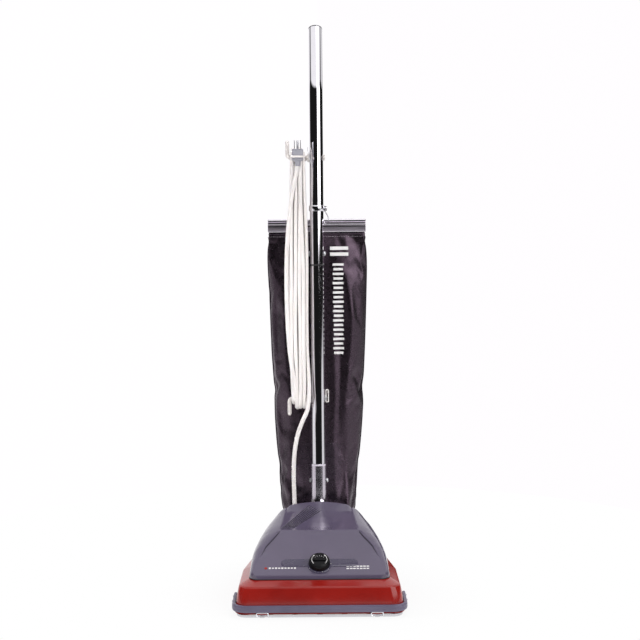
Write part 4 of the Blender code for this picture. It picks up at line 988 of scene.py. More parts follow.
# ---------------------------------------------------------------- nozzle housing
HALF_WIDTH = 0.1655
TAIL_HALF = 0.104
BASE_DEPTH = 0.338
GUARD_BACK = 0.0062         # the guard's inner face, behind the bumper's front
WIDE = 0.262                # the side runs straight to here, and reaches the tail at NARROW
NARROW = 0.284
OUTLET_Y = FRONT + 0.303
PEDAL_X = 0.062
TRUNNION_X = 0.0665
HOUSING = ((0.0092, 0, 0), (0.016, 0.0003, 0.0004), (0.026, 0.001, 0.0012), (0.036, 0.0021, 0.0024),
           (0.046, 0.0036, 0.0038), (0.054, 0.0051, 0.0052), (0.058, 0.0061, 0.006),
           (0.0598, 0.0069, 0.0067), (0.061, 0.0081, 0.0081), (0.0618, 0.0098, 0.0104),
           (0.063, 0.0128, 0.014), (0.0652, 0.0182, 0.0196), (0.0676, 0.024, 0.0248),
           (0.0686, 0.0262, 0.0266), (0.069, 0.0285, 0.029))   # height, side drawn in, front drawn in
COVER_SCREWS = ((-0.093, 0.02), (0.093, 0.02), (-0.088, 0.09), (0.088, 0.09), (-0.03, 0.14), (0.03, 0.14))


def base_outline(side_in, front_in):
    side, tail = HALF_WIDTH - side_in, TAIL_HALF - 0.3 * side_in
    front, rear = FRONT + 0.0058 + front_in, FRONT + BASE_DEPTH - 0.3 * front_in
    half = [(side, front, 0.024), (side - 0.003, FRONT + 0.150, 0.080),
            (side - 0.020, FRONT + WIDE - 0.5 * side_in, 0.020),
            (tail, FRONT + NARROW - 0.5 * side_in, 0.012), (tail, rear, 0.018)]
    return rounded(half + [(-x, y, radius) for x, y, radius in reversed(half)], 9)


def housing_cuts():
    tools = [moved(slab(rounded_rect(0.053, 0.1, 0.006), 0.05, 0.09), at(0, FRONT + 0.162, 0)),
             moved(block((0.012, 0.026, 0.03), 0.002), at(0.085, FRONT + 0.084, DECK)),
             moved(rod(0.0147, 0.02, 48), at(0, OUTLET_Y, DECK)),
             lying(rod(0.0045, 0.2), 0, 0.128, 0.025)]
    tools += [moved(block((0.0296, 0.03, 0.03), 0.002), at(side * PEDAL_X, FRONT + 0.330, DECK))
              for side in (-1, 1)]
    return [cutting(tool, own=True) for tool in tools]


def housing():
    """Pressed cover over brush, belt and wheels, with its tail round the outlet and the pedals."""
    rows = [[(x, y, z) for x, y in base_outline(side, front)] for z, side, front in HOUSING]
    parts = [shaped(loft(rows, first=False), wall(0.0028), *housing_cuts())]
    for side in (-1, 1):
        outline = rounded([(-0.012, -0.017, 0.001), (0.012, -0.017, 0.001), (0.012, 0.0165, 0.0118),
                           (-0.012, 0.0165, 0.0118)], 8)
        lug = moved(slab(outline, -0.0045, 0.0045), at(side * TRUNNION_X, PIVOT.y, 0.0835,
                                                       about("Z", 90) @ about("X", 90)))
        hole = lying(rod(0.0047, 0.02), side * TRUNNION_X, PIVOT.y, PIVOT.z)
        parts.append(shaped(lug, cutting(hole)))
        parts.append(moved(block((0.01, 0.02, 0.038), 0.001), at(side * 0.097, -0.015, 0.0495)))
    parts.append(moved(block((0.012, 0.016, 0.003)), at(-PEDAL_X, 0.1375, 0.0555)))
    piece("nozzle_cover", parts, RED, "base", ("base_housing",))
    screws = [moved(screw_head(0.0046, 0.0022), at(x, y, DECK - 0.0001)) for x, y in COVER_SCREWS]
    piece("cover_screws", screws, ZINC, "base")


def screw_head(radius, height):
    """Domed head with a cross recess."""
    dome = [(0, 0), (radius, 0), (radius, height * 0.35), (radius * 0.86, height * 0.75),
            (radius * 0.5, height), (0, height)]
    cross = [moved(block((radius * 1.1, radius * 0.22, height), 0.0001), at(0, 0, height, about("Z", turn)))
             for turn in (35, 125)]
    return shaped(lathe(dome, 32), *[cutting(tool) for tool in cross])


def nose_line(rear, corner, steps):
    """The front with its two round corners, from side to side."""
    corners = [(-HALF_WIDTH, rear, 0.0005), (-HALF_WIDTH, FRONT + GUARD_BACK, corner),
               (HALF_WIDTH, FRONT + GUARD_BACK, corner), (HALF_WIDTH, rear, 0.0005)]
    return rounded(corners, steps)[steps + 1:3 * steps + 3]


def bumper():
    """Soft guard with a rounded face and a shallow groove, wrapped round the nozzle."""
    rear = FRONT + 0.105
    section = [(0, -0.0064), (0.0022, -0.007), (0.0042, -0.0071), (0.0056, -0.0062), (0.0063, -0.004),
               (0.0065, -0.0012), (0.0062, -0.0004), (0.0062, 0.0004), (0.0065, 0.0012), (0.0063, 0.0042),
               (0.0055, 0.0064), (0.004, 0.0072), (0.002, 0.0071), (0, 0.0066)]
    ends = [(HALF_WIDTH, rear - back) for back in (0.030, 0.004, 0)]
    line = [(-x, y) for x, y in reversed(ends)] + nose_line(rear, 0.024, 16) + ends
    line = [Vector(spot) for spot in line]
    line = [p for i, p in enumerate(line) if i == 0 or (p - line[i - 1]).length > 0.0004]
    last = len(line) - 1
    rows = []
    for i, point in enumerate(line):
        ahead = (line[min(i + 1, last)] - line[max(i - 1, 0)]).normalized()
        taper = 0.55 if i in (0, last) else 1.0
        rows.append([(point.x + ahead.y * (GAP + a * taper), point.y - ahead.x * (GAP + a * taper),
                      0.02 + b * taper) for a, b in section])
    piece("bumper_strip", loft(rows), BUMPER, "base", ("bumper_guard",))
    dome = [(0, 0.0022), (0.0016, 0.0019), (0.0029, 0.0009), (0.0032, 0), (0, 0)]
    rivets = [moved(lathe(dome, 24), at(side * 0.1721, rear - back, 0.02, about("Y", side * 90)))
              for side in (-1, 1) for back in (0.010, 0.045)]
    piece("bumper_rivets", rivets, ZINC, "base")


# ---------------------------------------------------------------- under the nozzle
BRUSH = Vector((0, FRONT + 0.048, 0.0265))
SLOT_PITCH = 0.290 / 6
CLIP_X = 0.112


def sole_outline(inset):
    half = [(0.1625 - inset, FRONT + 0.0042 + inset, 0.018), (0.1625 - inset, FRONT + 0.088 - inset, 0.008)]
    return rounded(half + [(-x, y, radius) for x, y, radius in reversed(half)], 8)


def sole():
    """Pressed plate with a rolled rim, slots over the brush and its knuckles, held by two wire clips."""
    levels = ((0.0084, 0), (0.0062, -0.0002), (0.0046, 0.0001), (0.0034, 0.0008), (0.0028, 0.0016),
              (0.0025, 0.0026))
    rows = [[(x, y, z) for x, y in sole_outline(inset)] for z, inset in levels]
    slots = [moved(slab(rounded_rect(SLOT_PITCH / 2 - 0.003, 0.026, 0.004), -0.01, 0.01),
                   at((k - 2.5) * SLOT_PITCH, BRUSH.y, 0.0025)) for k in range(6)]
    plate = shaped(loft(rows, first=False), wall(0.0011), *[cutting(tool) for tool in slots])
    knuckle = mirrored([(0.0023, 0.0045), (0.00125, 0.0045)])
    lips = [lying(lathe(knuckle, 20, ring=True), side * CLIP_X, FRONT + 0.0032, 0.0053) for side in (-1, 1)]
    piece("sole_plate", [plate, *lips], ZINC, "base", ("bottom_plate",), slot="chrome")
    for side, name in SIDES:
        path = [(x, 0, z + 0.0036) for x, z in rounded_rect(0.0116, 0.0037, 0.003)]
        piece(f"wire_clip_{name}", sweep(path, 0.00135, 12, closed=True), CHROME, f"clip_{name}",
              (f"plate_clip_{name}",), at(side * CLIP_X, FRONT + 0.0032, 0.0053))
        seat = moved(block((0.0205, 0.0008, 0.005), 0.0002), at(side * CLIP_X, FRONT + 0.005, 0.009))
        piece(f"clip_seat_{name}", seat, RED, "base")
    line = nose_line(FRONT + 0.060, 0.0235, 14)[1:-1]
    piece("cover_rim", sweep([(x, y, 0.0098) for x, y in line], 0.0012, 8), RED, "base")


TUFT_TURN = 1.5 * math.pi / 0.136   # how fast the tufts wind round the core along X
TUFT_PITCH = 0.0030


def first_tuft(name):
    """Angle at which the strip in the frame would cross the brush's middle: the tufts stand where it does."""
    spots = [v.co - BRUSH for v in frame["nodes"][f"bristles_{name}"].data.vertices]
    spots = [spot for spot in spots if spot.yz.length > 0.023]
    nearest = min(abs(spot.x) for spot in spots)
    middle = sum((spot for spot in spots if abs(abs(spot.x) - nearest) < 0.0004), Vector())
    return math.atan2(middle.z, middle.y) - TUFT_TURN * nearest


def tufts(side, start, chance):
    hairs = []
    for row in range(40):
        along = 0.016 + TUFT_PITCH * row
        near_rib = min(abs(along - SLOT_PITCH * k) for k in (1, 2)) < 0.0058
        angle = start + TUFT_TURN * along
        length = 0.0205 if near_rib else 0.0246
        for hair in range(7):
            lean = chance.uniform(-0.05, 0.05)
            shift = chance.uniform(-0.0011, 0.0011)
            spread = (hair - 3) * 0.016
            a0, a1 = angle + spread, angle + spread * 1.5 + lean
            low = Vector((side * along + shift * 0.4, 0.017 * math.cos(a0), 0.017 * math.sin(a0)))
            tip = Vector((side * along + shift, length * math.cos(a1), length * math.sin(a1)))
            hairs.append(sweep([low, low.lerp(tip, 0.5), tip], lambda s: 0.00042 - 0.0001 * s, 4))
    return hairs


def brush_roll():
    """Turned wooden core with a belt groove, end caps and spiral rows of tufts."""
    half = [(0.0141, 0), (0.0142, 0.005), (0.0146, 0.0096), (0.0187, 0.0102), (0.0187, 0.0114),
            (0.0175, 0.012), (0.0175, 0.135), (0.0165, 0.136), (0.0044, 0.136)]
    piece("brush_roll", lathe(mirrored(half), 64, ring=True), WOOD, "brush", ("brush_core",),
          at(*BRUSH, about("Y", 90)))
    chance = random.Random(3)
    for side, name in SIDES:
        piece(f"tufts_{name}", tufts(side, first_tuft(name), chance), NYLON, "brush", (f"bristles_{name}",),
              at(*BRUSH))


def wheel(radius, width, bore):
    """Rubber tyre with tread lines, and a hub with a dished web and spokes."""
    half = width / 2
    tyre = [(radius * 0.7, -half), (radius * 0.92, -half), (radius * 0.985, -half * 0.78),
            (radius, -half * 0.5)]
    for k in range(5):
        h = -half * 0.42 + half * 0.21 * k
        tyre += [(radius, h - half * 0.05), (radius - 0.0007, h), (radius, h + half * 0.05)]
    tyre += [(r, -h) for r, h in reversed(tyre[:4])]
    hub = mirrored([(radius * 0.71, half * 0.8), (radius * 0.66, half * 0.8), (radius * 0.62, half * 0.34),
                    (bore * 2.1, half * 0.42), (bore * 2.1, half * 0.86), (bore * 2, half), (bore, half)])
    reach = (bore * 2 + radius * 0.68) / 2
    spoke = (radius * 0.68 - bore * 1.9, 0.0022, width * 0.66)
    spokes = [moved(block(spoke, 0.0004), about("Z", 72 * k) @ at(reach, 0, 0)) for k in range(5)]
    return lathe(tyre, 72, ring=True), joined(lathe(hub, 48, ring=True), *spokes)


def wheels():
    for end, x, y, radius, width, bore in (("front", 0.096, -0.078, 0.014, 0.0138, 0.0028),
                                           ("rear", 0.1155, 0.128, 0.025, 0.0178, 0.0046)):
        for side, word in SIDES:
            name = f"{end}_wheel_{word}"
            tyre, hub = wheel(radius, width, bore)
            place = at(side * x, y, radius, about("Y", 90))
            piece(f"{name}_tyre", tyre, RUBBER, name, (name,), place)
            piece(f"{name}_hub", hub, FAN_GREY, name, place=place)


# ---------------------------------------------------------------- motor and outlet
MOTOR = Vector((0, 0, 0.085))
MOTOR_R = 0.047
SHAFT_HOLE = 0.0111
MOTOR_FRONT = FRONT + 0.163
MOTOR_REAR = FRONT + 0.250


def along_motor(mesh):
    """Something turned round Z, laid with its heights along +Y on the motor's axis."""
    return moved(mesh, at(*MOTOR, about("X", -90)))


def motor_can():
    """Ribbed can with its front wall, and the boss and ring the cord enters."""
    full, sunk, inner = MOTOR_R, MOTOR_R - 0.0012, MOTOR_R - 0.003
    profile = [(inner, MOTOR_REAR), (full - 0.0006, MOTOR_REAR), (full, MOTOR_REAR - 0.0006),
               (full, MOTOR_REAR - 0.006), (sunk, MOTOR_REAR - 0.0072)]
    for k in range(6):
        y = MOTOR_REAR - 0.014 - 0.010 * k
        profile += [(sunk, y + 0.0016), (full, y + 0.001), (full, y - 0.001), (sunk, y - 0.0016)]
    profile += [(sunk, MOTOR_FRONT + 0.006), (full, MOTOR_FRONT + 0.005), (full, MOTOR_FRONT + 0.0006),
                (full - 0.0006, MOTOR_FRONT), (SHAFT_HOLE, MOTOR_FRONT), (SHAFT_HOLE, MOTOR_FRONT + 0.008),
                (inner, MOTOR_FRONT + 0.008)]
    boss = moved(block((0.026, 0.01, 0.0245), 0.003), at(-0.048, MOTOR_REAR - 0.0053, 0.099))
    entry = lathe([(0.0069, 0.1095), (0.01, 0.1095), (0.01, 0.1125), (0.0088, 0.114), (0.0069, 0.114)],
                  40, ring=True)
    can = along_motor(lathe(profile, 96, ring=True))
    piece("motor_can", [can, boss, moved(entry, at(EXIT.x, EXIT.y, 0))], BLACK, "base", ("motor_housing",))


def motor_cover():
    """Vented rear cover with its screws."""
    low, high = MOTOR_REAR + GAP, MOTOR_REAR + 0.012
    profile = [(0, high), (0.0145, high), (0.0155, high - 0.0012), (0.0175, high - 0.0016),
               (MOTOR_R - 0.0085, high - 0.0016), (MOTOR_R - 0.0055, high - 0.0022),
               (MOTOR_R - 0.0018, high - 0.005), (MOTOR_R, high - 0.007), (MOTOR_R, low + 0.0006),
               (MOTOR_R - 0.0006, low), (SHAFT_HOLE, low), (SHAFT_HOLE, low + 0.007), (0, low + 0.007)]
    vents = [moved(slab(rounded_rect(0.0085, 0.0016, 0.0015), -0.004, 0.0125, 0.0001),
                   at(*MOTOR, about("Y", 20 * k)) @ at(0.0275, high - 0.005, 0, about("X", -90)))
             for k in range(18)]
    cover = shaped(along_motor(lathe(profile, 96)), cutting(joined(*vents)))
    piece("motor_cover", cover, BLACK, "base", ("motor_cap",))
    screws = []
    for k in range(3):
        turn = math.radians(90 + 120 * k)
        screws.append(moved(screw_head(0.003, 0.0016), at(0.041 * math.cos(turn), high - 0.0026,
                                                          MOTOR.z + 0.041 * math.sin(turn), about("X", -90))))
    piece("motor_screws", screws, ZINC, "base")


def fan_scroll():
    rear, front = FRONT + 0.1627, FRONT + 0.128
    profile = [(0.0385, rear), (0.041, rear), (0.041, rear - 0.003), (0.0404, rear - 0.004),
               (0.0404, front + 0.004), (0.0398, front + 0.0012), (0.0385, front), (0.0165, front),
               (0.016, front + 0.0006), (0.016, front + 0.0025), (0.0385, front + 0.003)]
    hole = moved(rod(0.012, 0.01, 40), at(0, FRONT + 0.146, MOTOR.z - 0.041))
    scroll = shaped(along_motor(lathe(profile, 80, ring=True)), cutting(hole))
    piece("fan_scroll", scroll, BLACK, "base", ("fan_housing",))


def outlet():
    """Neck that the bag's collar clamps on, with its band and screw."""
    place = at(0, OUTLET_Y, 0)
    neck = [(0.0125, 0.0803), (0.0147, 0.0803), (0.016, 0.083), (0.0196, 0.0905), (0.02, 0.0925),
            (0.02, 0.1108),
            (0.0196, 0.112), (0.0178, 0.112), (0.0174, 0.1112), (0.0174, 0.093), (0.013, 0.085)]
    piece("outlet_spout", lathe(neck, ring=True), BLACK, "base", ("outlet_neck",), place)
    collar = [(0.0203, 0.097), (0.0238, 0.097), (0.0246, 0.0976), (0.0248, 0.099), (0.0242, 0.1),
              (0.0244, 0.101), (0.0244, 0.1062), (0.0242, 0.1072), (0.0254, 0.1082), (0.025, 0.1098),
              (0.024, 0.111), (0.0203, 0.111)]
    piece("collar", lathe(collar, 72, ring=True), RUBBER, "base", ("bag_collar",), place)
    band = lathe([(0.0244, 0.1016), (0.025, 0.1016), (0.025, 0.1056), (0.0244, 0.1056)], 72, ring=True)
    lug = moved(block((0.0042, 0.007, 0.0044)), at(0.0252, 0, 0.1036))
    screw = moved(screw_head(0.0018, 0.0012), at(0.0252, -0.0036, 0.1036, about("X", 90)))
    piece("collar_band", [band, lug, screw], ZINC, "base", place=place)


def relief():
    """Ribbed boot round the cord where it leaves the machine."""
    profile = [(0, 0.112), (0.0088, 0.112), (0.009, 0.1136), (0.007, 0.1146)]
    for k in range(11):
        z = 0.1168 + 0.0038 * k
        r = 0.0069 - 0.00013 * k
        profile += [(r, z - 0.0011), (r, z + 0.0006), (r - 0.0012, z + 0.001), (r - 0.0012, z + 0.0022)]
    profile += [(0.005, 0.1594), (0.0046, 0.16), (0, 0.16)]
    piece("cord_boot", lathe(profile, 40), BLACK, "base", ("strain_relief",), at(EXIT.x, EXIT.y, 0))


def pedals():
    """A ribbed pad and its hinge on each side, and the coil below the release pedal."""
    outline = rounded([(-0.013, -0.012, 0.002), (0.013, -0.012, 0.002), (0.013, 0.0148, 0.006),
                       (-0.013, 0.0148, 0.006)], 6)
    for side, name, finish in ((-1, "release_pedal", BLACK), (1, "power_pedal", ZINC)):
        hinge = lathe(mirrored([(0.004, 0.0142), (0.0036, 0.0146), (0, 0.0146)]), 32)
        parts = [lying(hinge, side * PEDAL_X, 0.130, 0.070),
                 moved(slab(outline, -0.0024, 0.0018, 0.0009), at(side * PEDAL_X, 0.1482, 0.0718)),
                 moved(block((0.018, 0.012, 0.003)), at(side * PEDAL_X, 0.1345, 0.0712))]
        parts += [moved(block((0.02, 0.0016, 0.0012), 0.0004), at(side * PEDAL_X, 0.14 + 0.0036 * k, 0.0739))
                  for k in range(6)]
        piece(f"{name}_pad", parts, finish, name, (name,))
    turns = [25.2 * k / 84 for k in range(85)]
    coil = [(0.0035 * math.cos(t), 0.0035 * math.sin(t), 0.0582 + 0.0096 * t / turns[-1]) for t in turns]
    spring = piece("pedal_coil", sweep(coil, 0.0005, 8), ZINC, "base", ("pedal_spring",),
                   at(-PEDAL_X, FRONT + 0.328, 0))
    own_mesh(spring)


# ---------------------------------------------------------------- handle
TUBE_R = 0.0143
TUBE_WALL = 0.0012
TUBE_LOW = 0.1043
RING = 0.587                # height of the joint ring
BEND = 0.945
BEND_R = 0.070
GRIP_LEAN = math.radians(22)
SOCKET_R = 0.0159
BOLT_LOW = 0.134
BOLT_HIGH = 0.612
CLAMP_V = 0.0330            # the clamp's place behind the tube's axis, and its height
CLAMP_W = 0.672
BEAD_UP = 0.010
ARM_X = 0.078


def bolt_holes(*heights):
    return [cutting(lying(rod(0.0031, 0.03), z=height)) for height in heights]


def grip_path():
    points = [Vector((0, 0, w)) for w in (RING + 0.003, 0.64, 0.70, 0.78, 0.86, 0.92)]
    for k in range(15):
        turn = GRIP_LEAN * k / 14
        points.append(Vector((0, BEND_R * (1 - math.cos(turn)), BEND + BEND_R * math.sin(turn))))
    along = Vector((0, math.sin(GRIP_LEAN), math.cos(GRIP_LEAN)))
    last = points[-1].copy()
    return points + [last + along * d for d in (0.04, 0.08, 0.126)]


def tubes():
    """Two chrome tubes with a black ring between, the upper one bent back for the grip."""
    inner = TUBE_R - TUBE_WALL
    lower = [(inner, TUBE_LOW), (TUBE_R - 0.0004, TUBE_LOW), (TUBE_R, TUBE_LOW + 0.0004),
             (TUBE_R, RING - 0.0004), (TUBE_R - 0.0004, RING), (0.0122, RING), (0.0122, RING + 0.045),
             (0.011, RING + 0.045), (0.011, RING), (inner, RING - 0.003)]
    lower = shaped(lathe(lower, 72, ring=True), *bolt_holes(BOLT_LOW, BOLT_HIGH, HOOK_LOW))
    piece("tube_lower", lower, CHROME, "handle", ("lower_tube",), HANDLE)
    ring = [(0.0131, 0.0002), (0.015, 0.0002), (0.0154, 0.0007), (0.0154, 0.0021), (0.015, 0.0027),
            (0.0131, 0.0027)]
    piece("tube_ring", lathe([(r, RING + h) for r, h in ring], ring=True), RUBBER, "handle",
          ("joint_ring",), HANDLE, "black_plastic")
    path = grip_path()
    upper = shaped(sweep(path, TUBE_R, 72, caps=False), wall(TUBE_WALL), *bolt_holes(BOLT_HIGH, HOOK_HIGH))
    piece("tube_upper", upper, CHROME, "handle", ("upper_tube",), HANDLE)
    dome = [(0, -0.012), (0.012, -0.012), (0.0122, 0.0002), (0.0143, 0.0003), (0.0147, 0.001),
            (0.0144, 0.0018), (0.0125, 0.0032), (0.0085, 0.0045), (0.004, 0.0051), (0, 0.0052)]
    piece("tube_cap", lathe(dome, 56), BLACK, "handle", ("grip_cap",),
          HANDLE @ at(*path[-1], Matrix.Rotation(-GRIP_LEAN, 4, "X")))


def bolts():
    for name, height, reach in (("lower_bolt", BOLT_LOW, SOCKET_R), ("upper_bolt", BOLT_HIGH, TUBE_R)):
        dome = [(0, 0.0046), (0.0026, 0.0044), (0.0046, 0.0032), (0.0054, 0.0012), (0.0054, GAP),
                (0.0027, GAP)]
        washer = [(0.0027, GAP), (0.0062, GAP), (0.0062, 0.001), (0.003, 0.001), (0.003, 0.0012),
                  (0, 0.0012)]
        nut = [(0, 0.0046), (0.0042, 0.0046), (0.0052, 0.004), (0.0052, 0.0014), (0.0044, 0.0009),
               (0, 0.0009)]
        bolt = lathe([(r, reach + h) for r, h in dome] + [(r, -reach - h) for r, h in washer], 36)
        nut = lathe([(r, -reach - h) for r, h in nut], 6)
        piece(f"{name}_set", [lying(bolt), lying(nut)], ZINC, "handle", (name,), HANDLE @ at(0, 0, height))


def bail():
    """Polished casting: a socket with a flange on a fork that straddles the motor, and its pivot bolts."""
    socket = [(0, 0.077), (0.01, 0.077), (0.015, 0.0795), (0.0172, 0.083), (0.0176, 0.087), (0.0166, 0.092),
              (0.016, 0.098), (SOCKET_R, 0.106), (SOCKET_R, 0.1075), (SOCKET_R, 0.1655), (SOCKET_R, 0.1672),
              (0.0163, 0.168), (0.0163, 0.1694), (0.0157, 0.17), (0.0146, 0.17), (0.0146, 0.1042),
              (0, 0.1042)]
    half = [(0.008, 0, 0.078), (0.022, 0, 0.075), (0.038, 0, 0.07), (0.052, 0, 0.0633), (0.064, 0, 0.0555),
            (0.072, 0, 0.0465), (0.0765, 0, 0.036), (ARM_X, 0, 0.024), (ARM_X, 0, 0.006)]
    spots = [(-x, y, z) for x, y, z in reversed(half)] + half
    fork = sweep(smooth_path(spots, 5), 0.0062, 20, section=oval(0.92, 1.06))
    eye = mirrored([(0.0125, 0.0031), (0.0116, 0.004), (0.0048, 0.004)])
    eyes = [lying(lathe(eye, 56, ring=True), side * ARM_X) for side in (-1, 1)]
    socket = shaped(lathe(socket), *bolt_holes(BOLT_LOW))
    piece("handle_fork", [socket, fork, *eyes], CAST, "handle", ("handle_bail",), HANDLE)
    pin = [(0, -0.001), (0.0045, -0.001), (0.0045, 0.0217), (0.009, 0.0217), (0.009, 0.0232),
           (0.0076, 0.025), (0.004, 0.0257), (0, 0.0258)]
    for side, name in SIDES:
        slot = moved(block((0.003, 0.02, 0.0016), 0.0001), at(0, 0, 0.0258))
        piece(f"pivot_bolt_{name}", shaped(lathe(pin, 48), cutting(slot)), ZINC, "base",
              (f"pivot_pin_{name}",), at(side * 0.063, PIVOT.y, PIVOT.z, about("Y", 90 * side)))


def clamp():
    """Sliding channel with a round bead, its ends deburred."""
    outer, inner, low, roof = 0.0068, 0.0054, -0.014, 0.007
    place = HANDLE @ at(0, CLAMP_V, CLAMP_W)
    half = [(inner, low), (outer - 0.0004, low), (outer, low + 0.0006), (outer, roof - 0.0012),
            (outer - 0.0012, roof), (0.0032, roof)]
    hollow = [(inner - 0.001, roof - 0.0016), (inner, roof - 0.0026)]
    neck = [(0.004 * math.cos(t), BEAD_UP + 0.004 * math.sin(t))
            for t in (math.radians(-44 + 268 * k / 22) for k in range(23))]
    right = hollow + half
    outline = right + neck + [(-a, b) for a, b in reversed(right)]
    rows = []
    for x, share in ((0.1024, 1.0), (0.1031, 0.985), (0.1035, 0.94)):
        row = [(a * share, 0.003 + (b - 0.003) * share) for a, b in outline]
        rows.append([(x, a, b) for a, b in row])
        rows.insert(0, [(-x, a, b) for a, b in row])
    piece("clamp_channel", loft(rows), SATIN, "clamp", ("bag_clamp",), place)
    bead = lathe(mirrored([(0.0045, 0.1031), (0.0039, 0.1037), (0, 0.1037)]), 40)
    piece("clamp_bead", lying(bead, z=BEAD_UP), BEAD, "clamp", place=place)
    # Black strips on the channel's face: painted shade below the bead and a painted dark reflection lower
    # down.
    shade_strips = [moved(block((0.206, 0.0006, tall), 0.0001), at(0, -outer - 0.0001, up))
               for tall, up in ((0.0019, 0.0055), (0.002, -0.0024))]
    piece("clamp_shade_strips", shade_strips, BLACK, "clamp", place=place)
    lips = [lying(rod(0.0008, 0.1033, 12), y=-outer, z=up) for up in (low + 0.0006, 0.002)]
    piece("clamp_lip", lips, BEAD, "clamp", place=place)


SADDLE_STEPS = 16


def saddle(height):
    """Open ring that the clamp's bead slides in."""
    rows = []
    for x, inset in ((-0.009, 0.0002), (-0.0086, 0), (0.0086, 0), (0.009, 0.0002)):
        row = []
        for radius, order in ((0.0064 - inset, range(SADDLE_STEPS + 1)),
                              (0.0046 + inset, range(SADDLE_STEPS, -1, -1))):
            for k in order:
                turn = math.radians(-14 + 208 * k / SADDLE_STEPS)
                row.append((x, CLAMP_V + radius * math.cos(turn), height + radius * math.sin(turn)))
        rows.append(row)
    return loft(rows)


def ribbon(line, half_width, half_thick):
    """A flat strap along a line of (y, z)."""
    rows = []
    for i, (y, z) in enumerate(line):
        ahead = Vector(line[min(i + 1, len(line) - 1)]) - Vector(line[max(i - 1, 0)])
        side = Vector((-ahead.y, ahead.x)).normalized() * half_thick
        rows.append([(x * half_width, y + s * side.x, z + s * side.y)
                     for x, s in ((-1, 1), (1, 1), (1, -1), (-1, -1))])
    return loft(rows)


def hanger():
    """Band round the tube with a strap to the open saddle that carries the clamp's bead."""
    height = CLAMP_W + BEAD_UP
    top = height + 0.025
    band = mirrored([(0.0163, 0.0056), (0.016, 0.006), (0.0146, 0.006)])
    band = moved(lathe(band, ring=True), at(0, 0, top))
    strap = smooth_path([(0, 0.016, 0.0272), (0, 0.029, 0.0272), (0, 0.0318, 0.0262), (0, 0.033, 0.0235),
                         (0, 0.033, 0.006)], 5)
    strap = ribbon([(spot.y, height + spot.z) for spot in strap], 0.006, 0.0009)
    pinch = moved(block((0.006, 0.0044, 0.01), 0.0008), at(0.0185, -0.001, top))
    head = moved(screw_head(0.0026, 0.0016), at(0.0185, -0.0031, top, about("X", 90)))
    catch = [(0.0165, 0.003, 0.02), (0.0205, 0.012, 0.014), (0.024, 0.0225, 0.007), (0.025, 0.0268, 0.001),
             (0.0238, 0.0272, -0.005), (0.02, 0.0268, -0.0085), (0.0165, 0.0262, -0.006),
             (0.016, 0.0262, -0.001)]
    catch = smooth_path([(x, y, height + up) for x, y, up in catch], 5)
    piece("hanger_catch", sweep(catch, 0.0011, 12), CHROME, "handle", place=HANDLE)
    piece("hanger_strap", [band, strap, saddle(height), pinch, head], CHROME, "handle",
          ("bag_hanger",), HANDLE)


def tube_trims():
    """Wire keeper above the low hook and a fine wire stay below the high one."""
    path = [(x + 0.019, -0.004, z + 0.313) for x, z in rounded_rect(0.0026, 0.0128, 0.0016)]
    stem = moved(block((0.005, 0.003, 0.004)), at(0.016, -0.003, 0.3075))
    piece("tube_keeper", [sweep(path, 0.0012, 10, closed=True), stem], CREAM, "handle", place=HANDLE,
          slot="chrome")
    stay = smooth_path([(-0.0178, -0.005, 0.835), (-0.0172, -0.007, 0.828), (-0.014, -0.0095, 0.812),
                        (-0.0105, -0.0118, 0.798), (-0.0096, -0.012, 0.792)])
    piece("hook_stay", sweep(stay, 0.0006, 8), ZINC, "handle", place=HANDLE)


# ---------------------------------------------------------------- bag
# Height along the handle, half width, depth, and distance of the middle behind the tube's axis.
BAG_SECTIONS = ((0.024, 0.0276, 0.0552, 0.04), (0.03, 0.028, 0.056, 0.0402), (0.0345, 0.03, 0.056, 0.0412),
                (0.04, 0.0365, 0.057, 0.044), (0.045, 0.047, 0.058, 0.048), (0.052, 0.06, 0.059, 0.052),
                (0.07, 0.0735, 0.064, 0.0555), (0.1, 0.079, 0.069, 0.0585), (0.16, 0.083, 0.074, 0.0612),
                (0.24, 0.09, 0.076, 0.0622), (0.34, 0.096, 0.074, 0.0612), (0.44, 0.0995, 0.068, 0.0582),
                (0.53, 0.1018, 0.056, 0.0522), (0.6, 0.1033, 0.038, 0.0432), (0.64, 0.103, 0.019, 0.0355),
                (0.652, 0.1022, 0.0095, 0.0334), (0.66, 0.1015, 0.0076, 0.033),
                (0.676, 0.1012, 0.0072, 0.033))
BAG_AROUND = 108
BAG_STEP = 0.0058
BAG_SQUARE = 0.72           # below 1, a section is fuller than an oval
NECK_TOP = 0.034
HEM_LOW = 0.651
CLOTH_WALL = 0.0011
SIM_FRAMES = 22
MOST_MOVE = 0.0085          # how far the simulation may carry the cloth from its pattern
TUBE_ROOM = 0.0218          # nearest the cloth may come to the axis behind the tube, and behind the cord
CORD_ROOM = 0.0236
STRIPE_LIFT = 0.0004
STRIPE_THICK = 0.0003
PLEATS = ((-0.082, 0.0085, -0.0070, 1), (-0.064, 0.0090, 0.0055, 1), (0.066, 0.0085, 0.0080, -1),
          (0.046, 0.0080, -0.0030, -1))   # place, width, how far it stands out, way it wavers


def share_of(value):
    return max(0.0, min(1.0, value))


def bag_place(height):
    """Half width, depth and middle of the bag at a height, eased between the sections."""
    rows = BAG_SECTIONS
    i = next((i for i in range(len(rows) - 2) if height <= rows[i + 1][0]), len(rows) - 2)
    before, low, high, after = rows[max(i - 1, 0)], rows[i], rows[i + 1], rows[min(i + 2, len(rows) - 1)]
    span = high[0] - low[0]
    return [eased((height - low[0]) / span, low[k], high[k],
                  (high[k] - before[k]) / max(high[0] - before[0], 0.001) * span,
                  (after[k] - low[k]) / max(after[0] - low[0], 0.001) * span) for k in (1, 2, 3)]


def squarish(turn, square):
    """Cosine and sine of a turn, pushed out towards a rectangle."""
    return [math.copysign(abs(value) ** square, value) for value in (math.cos(turn), math.sin(turn))]


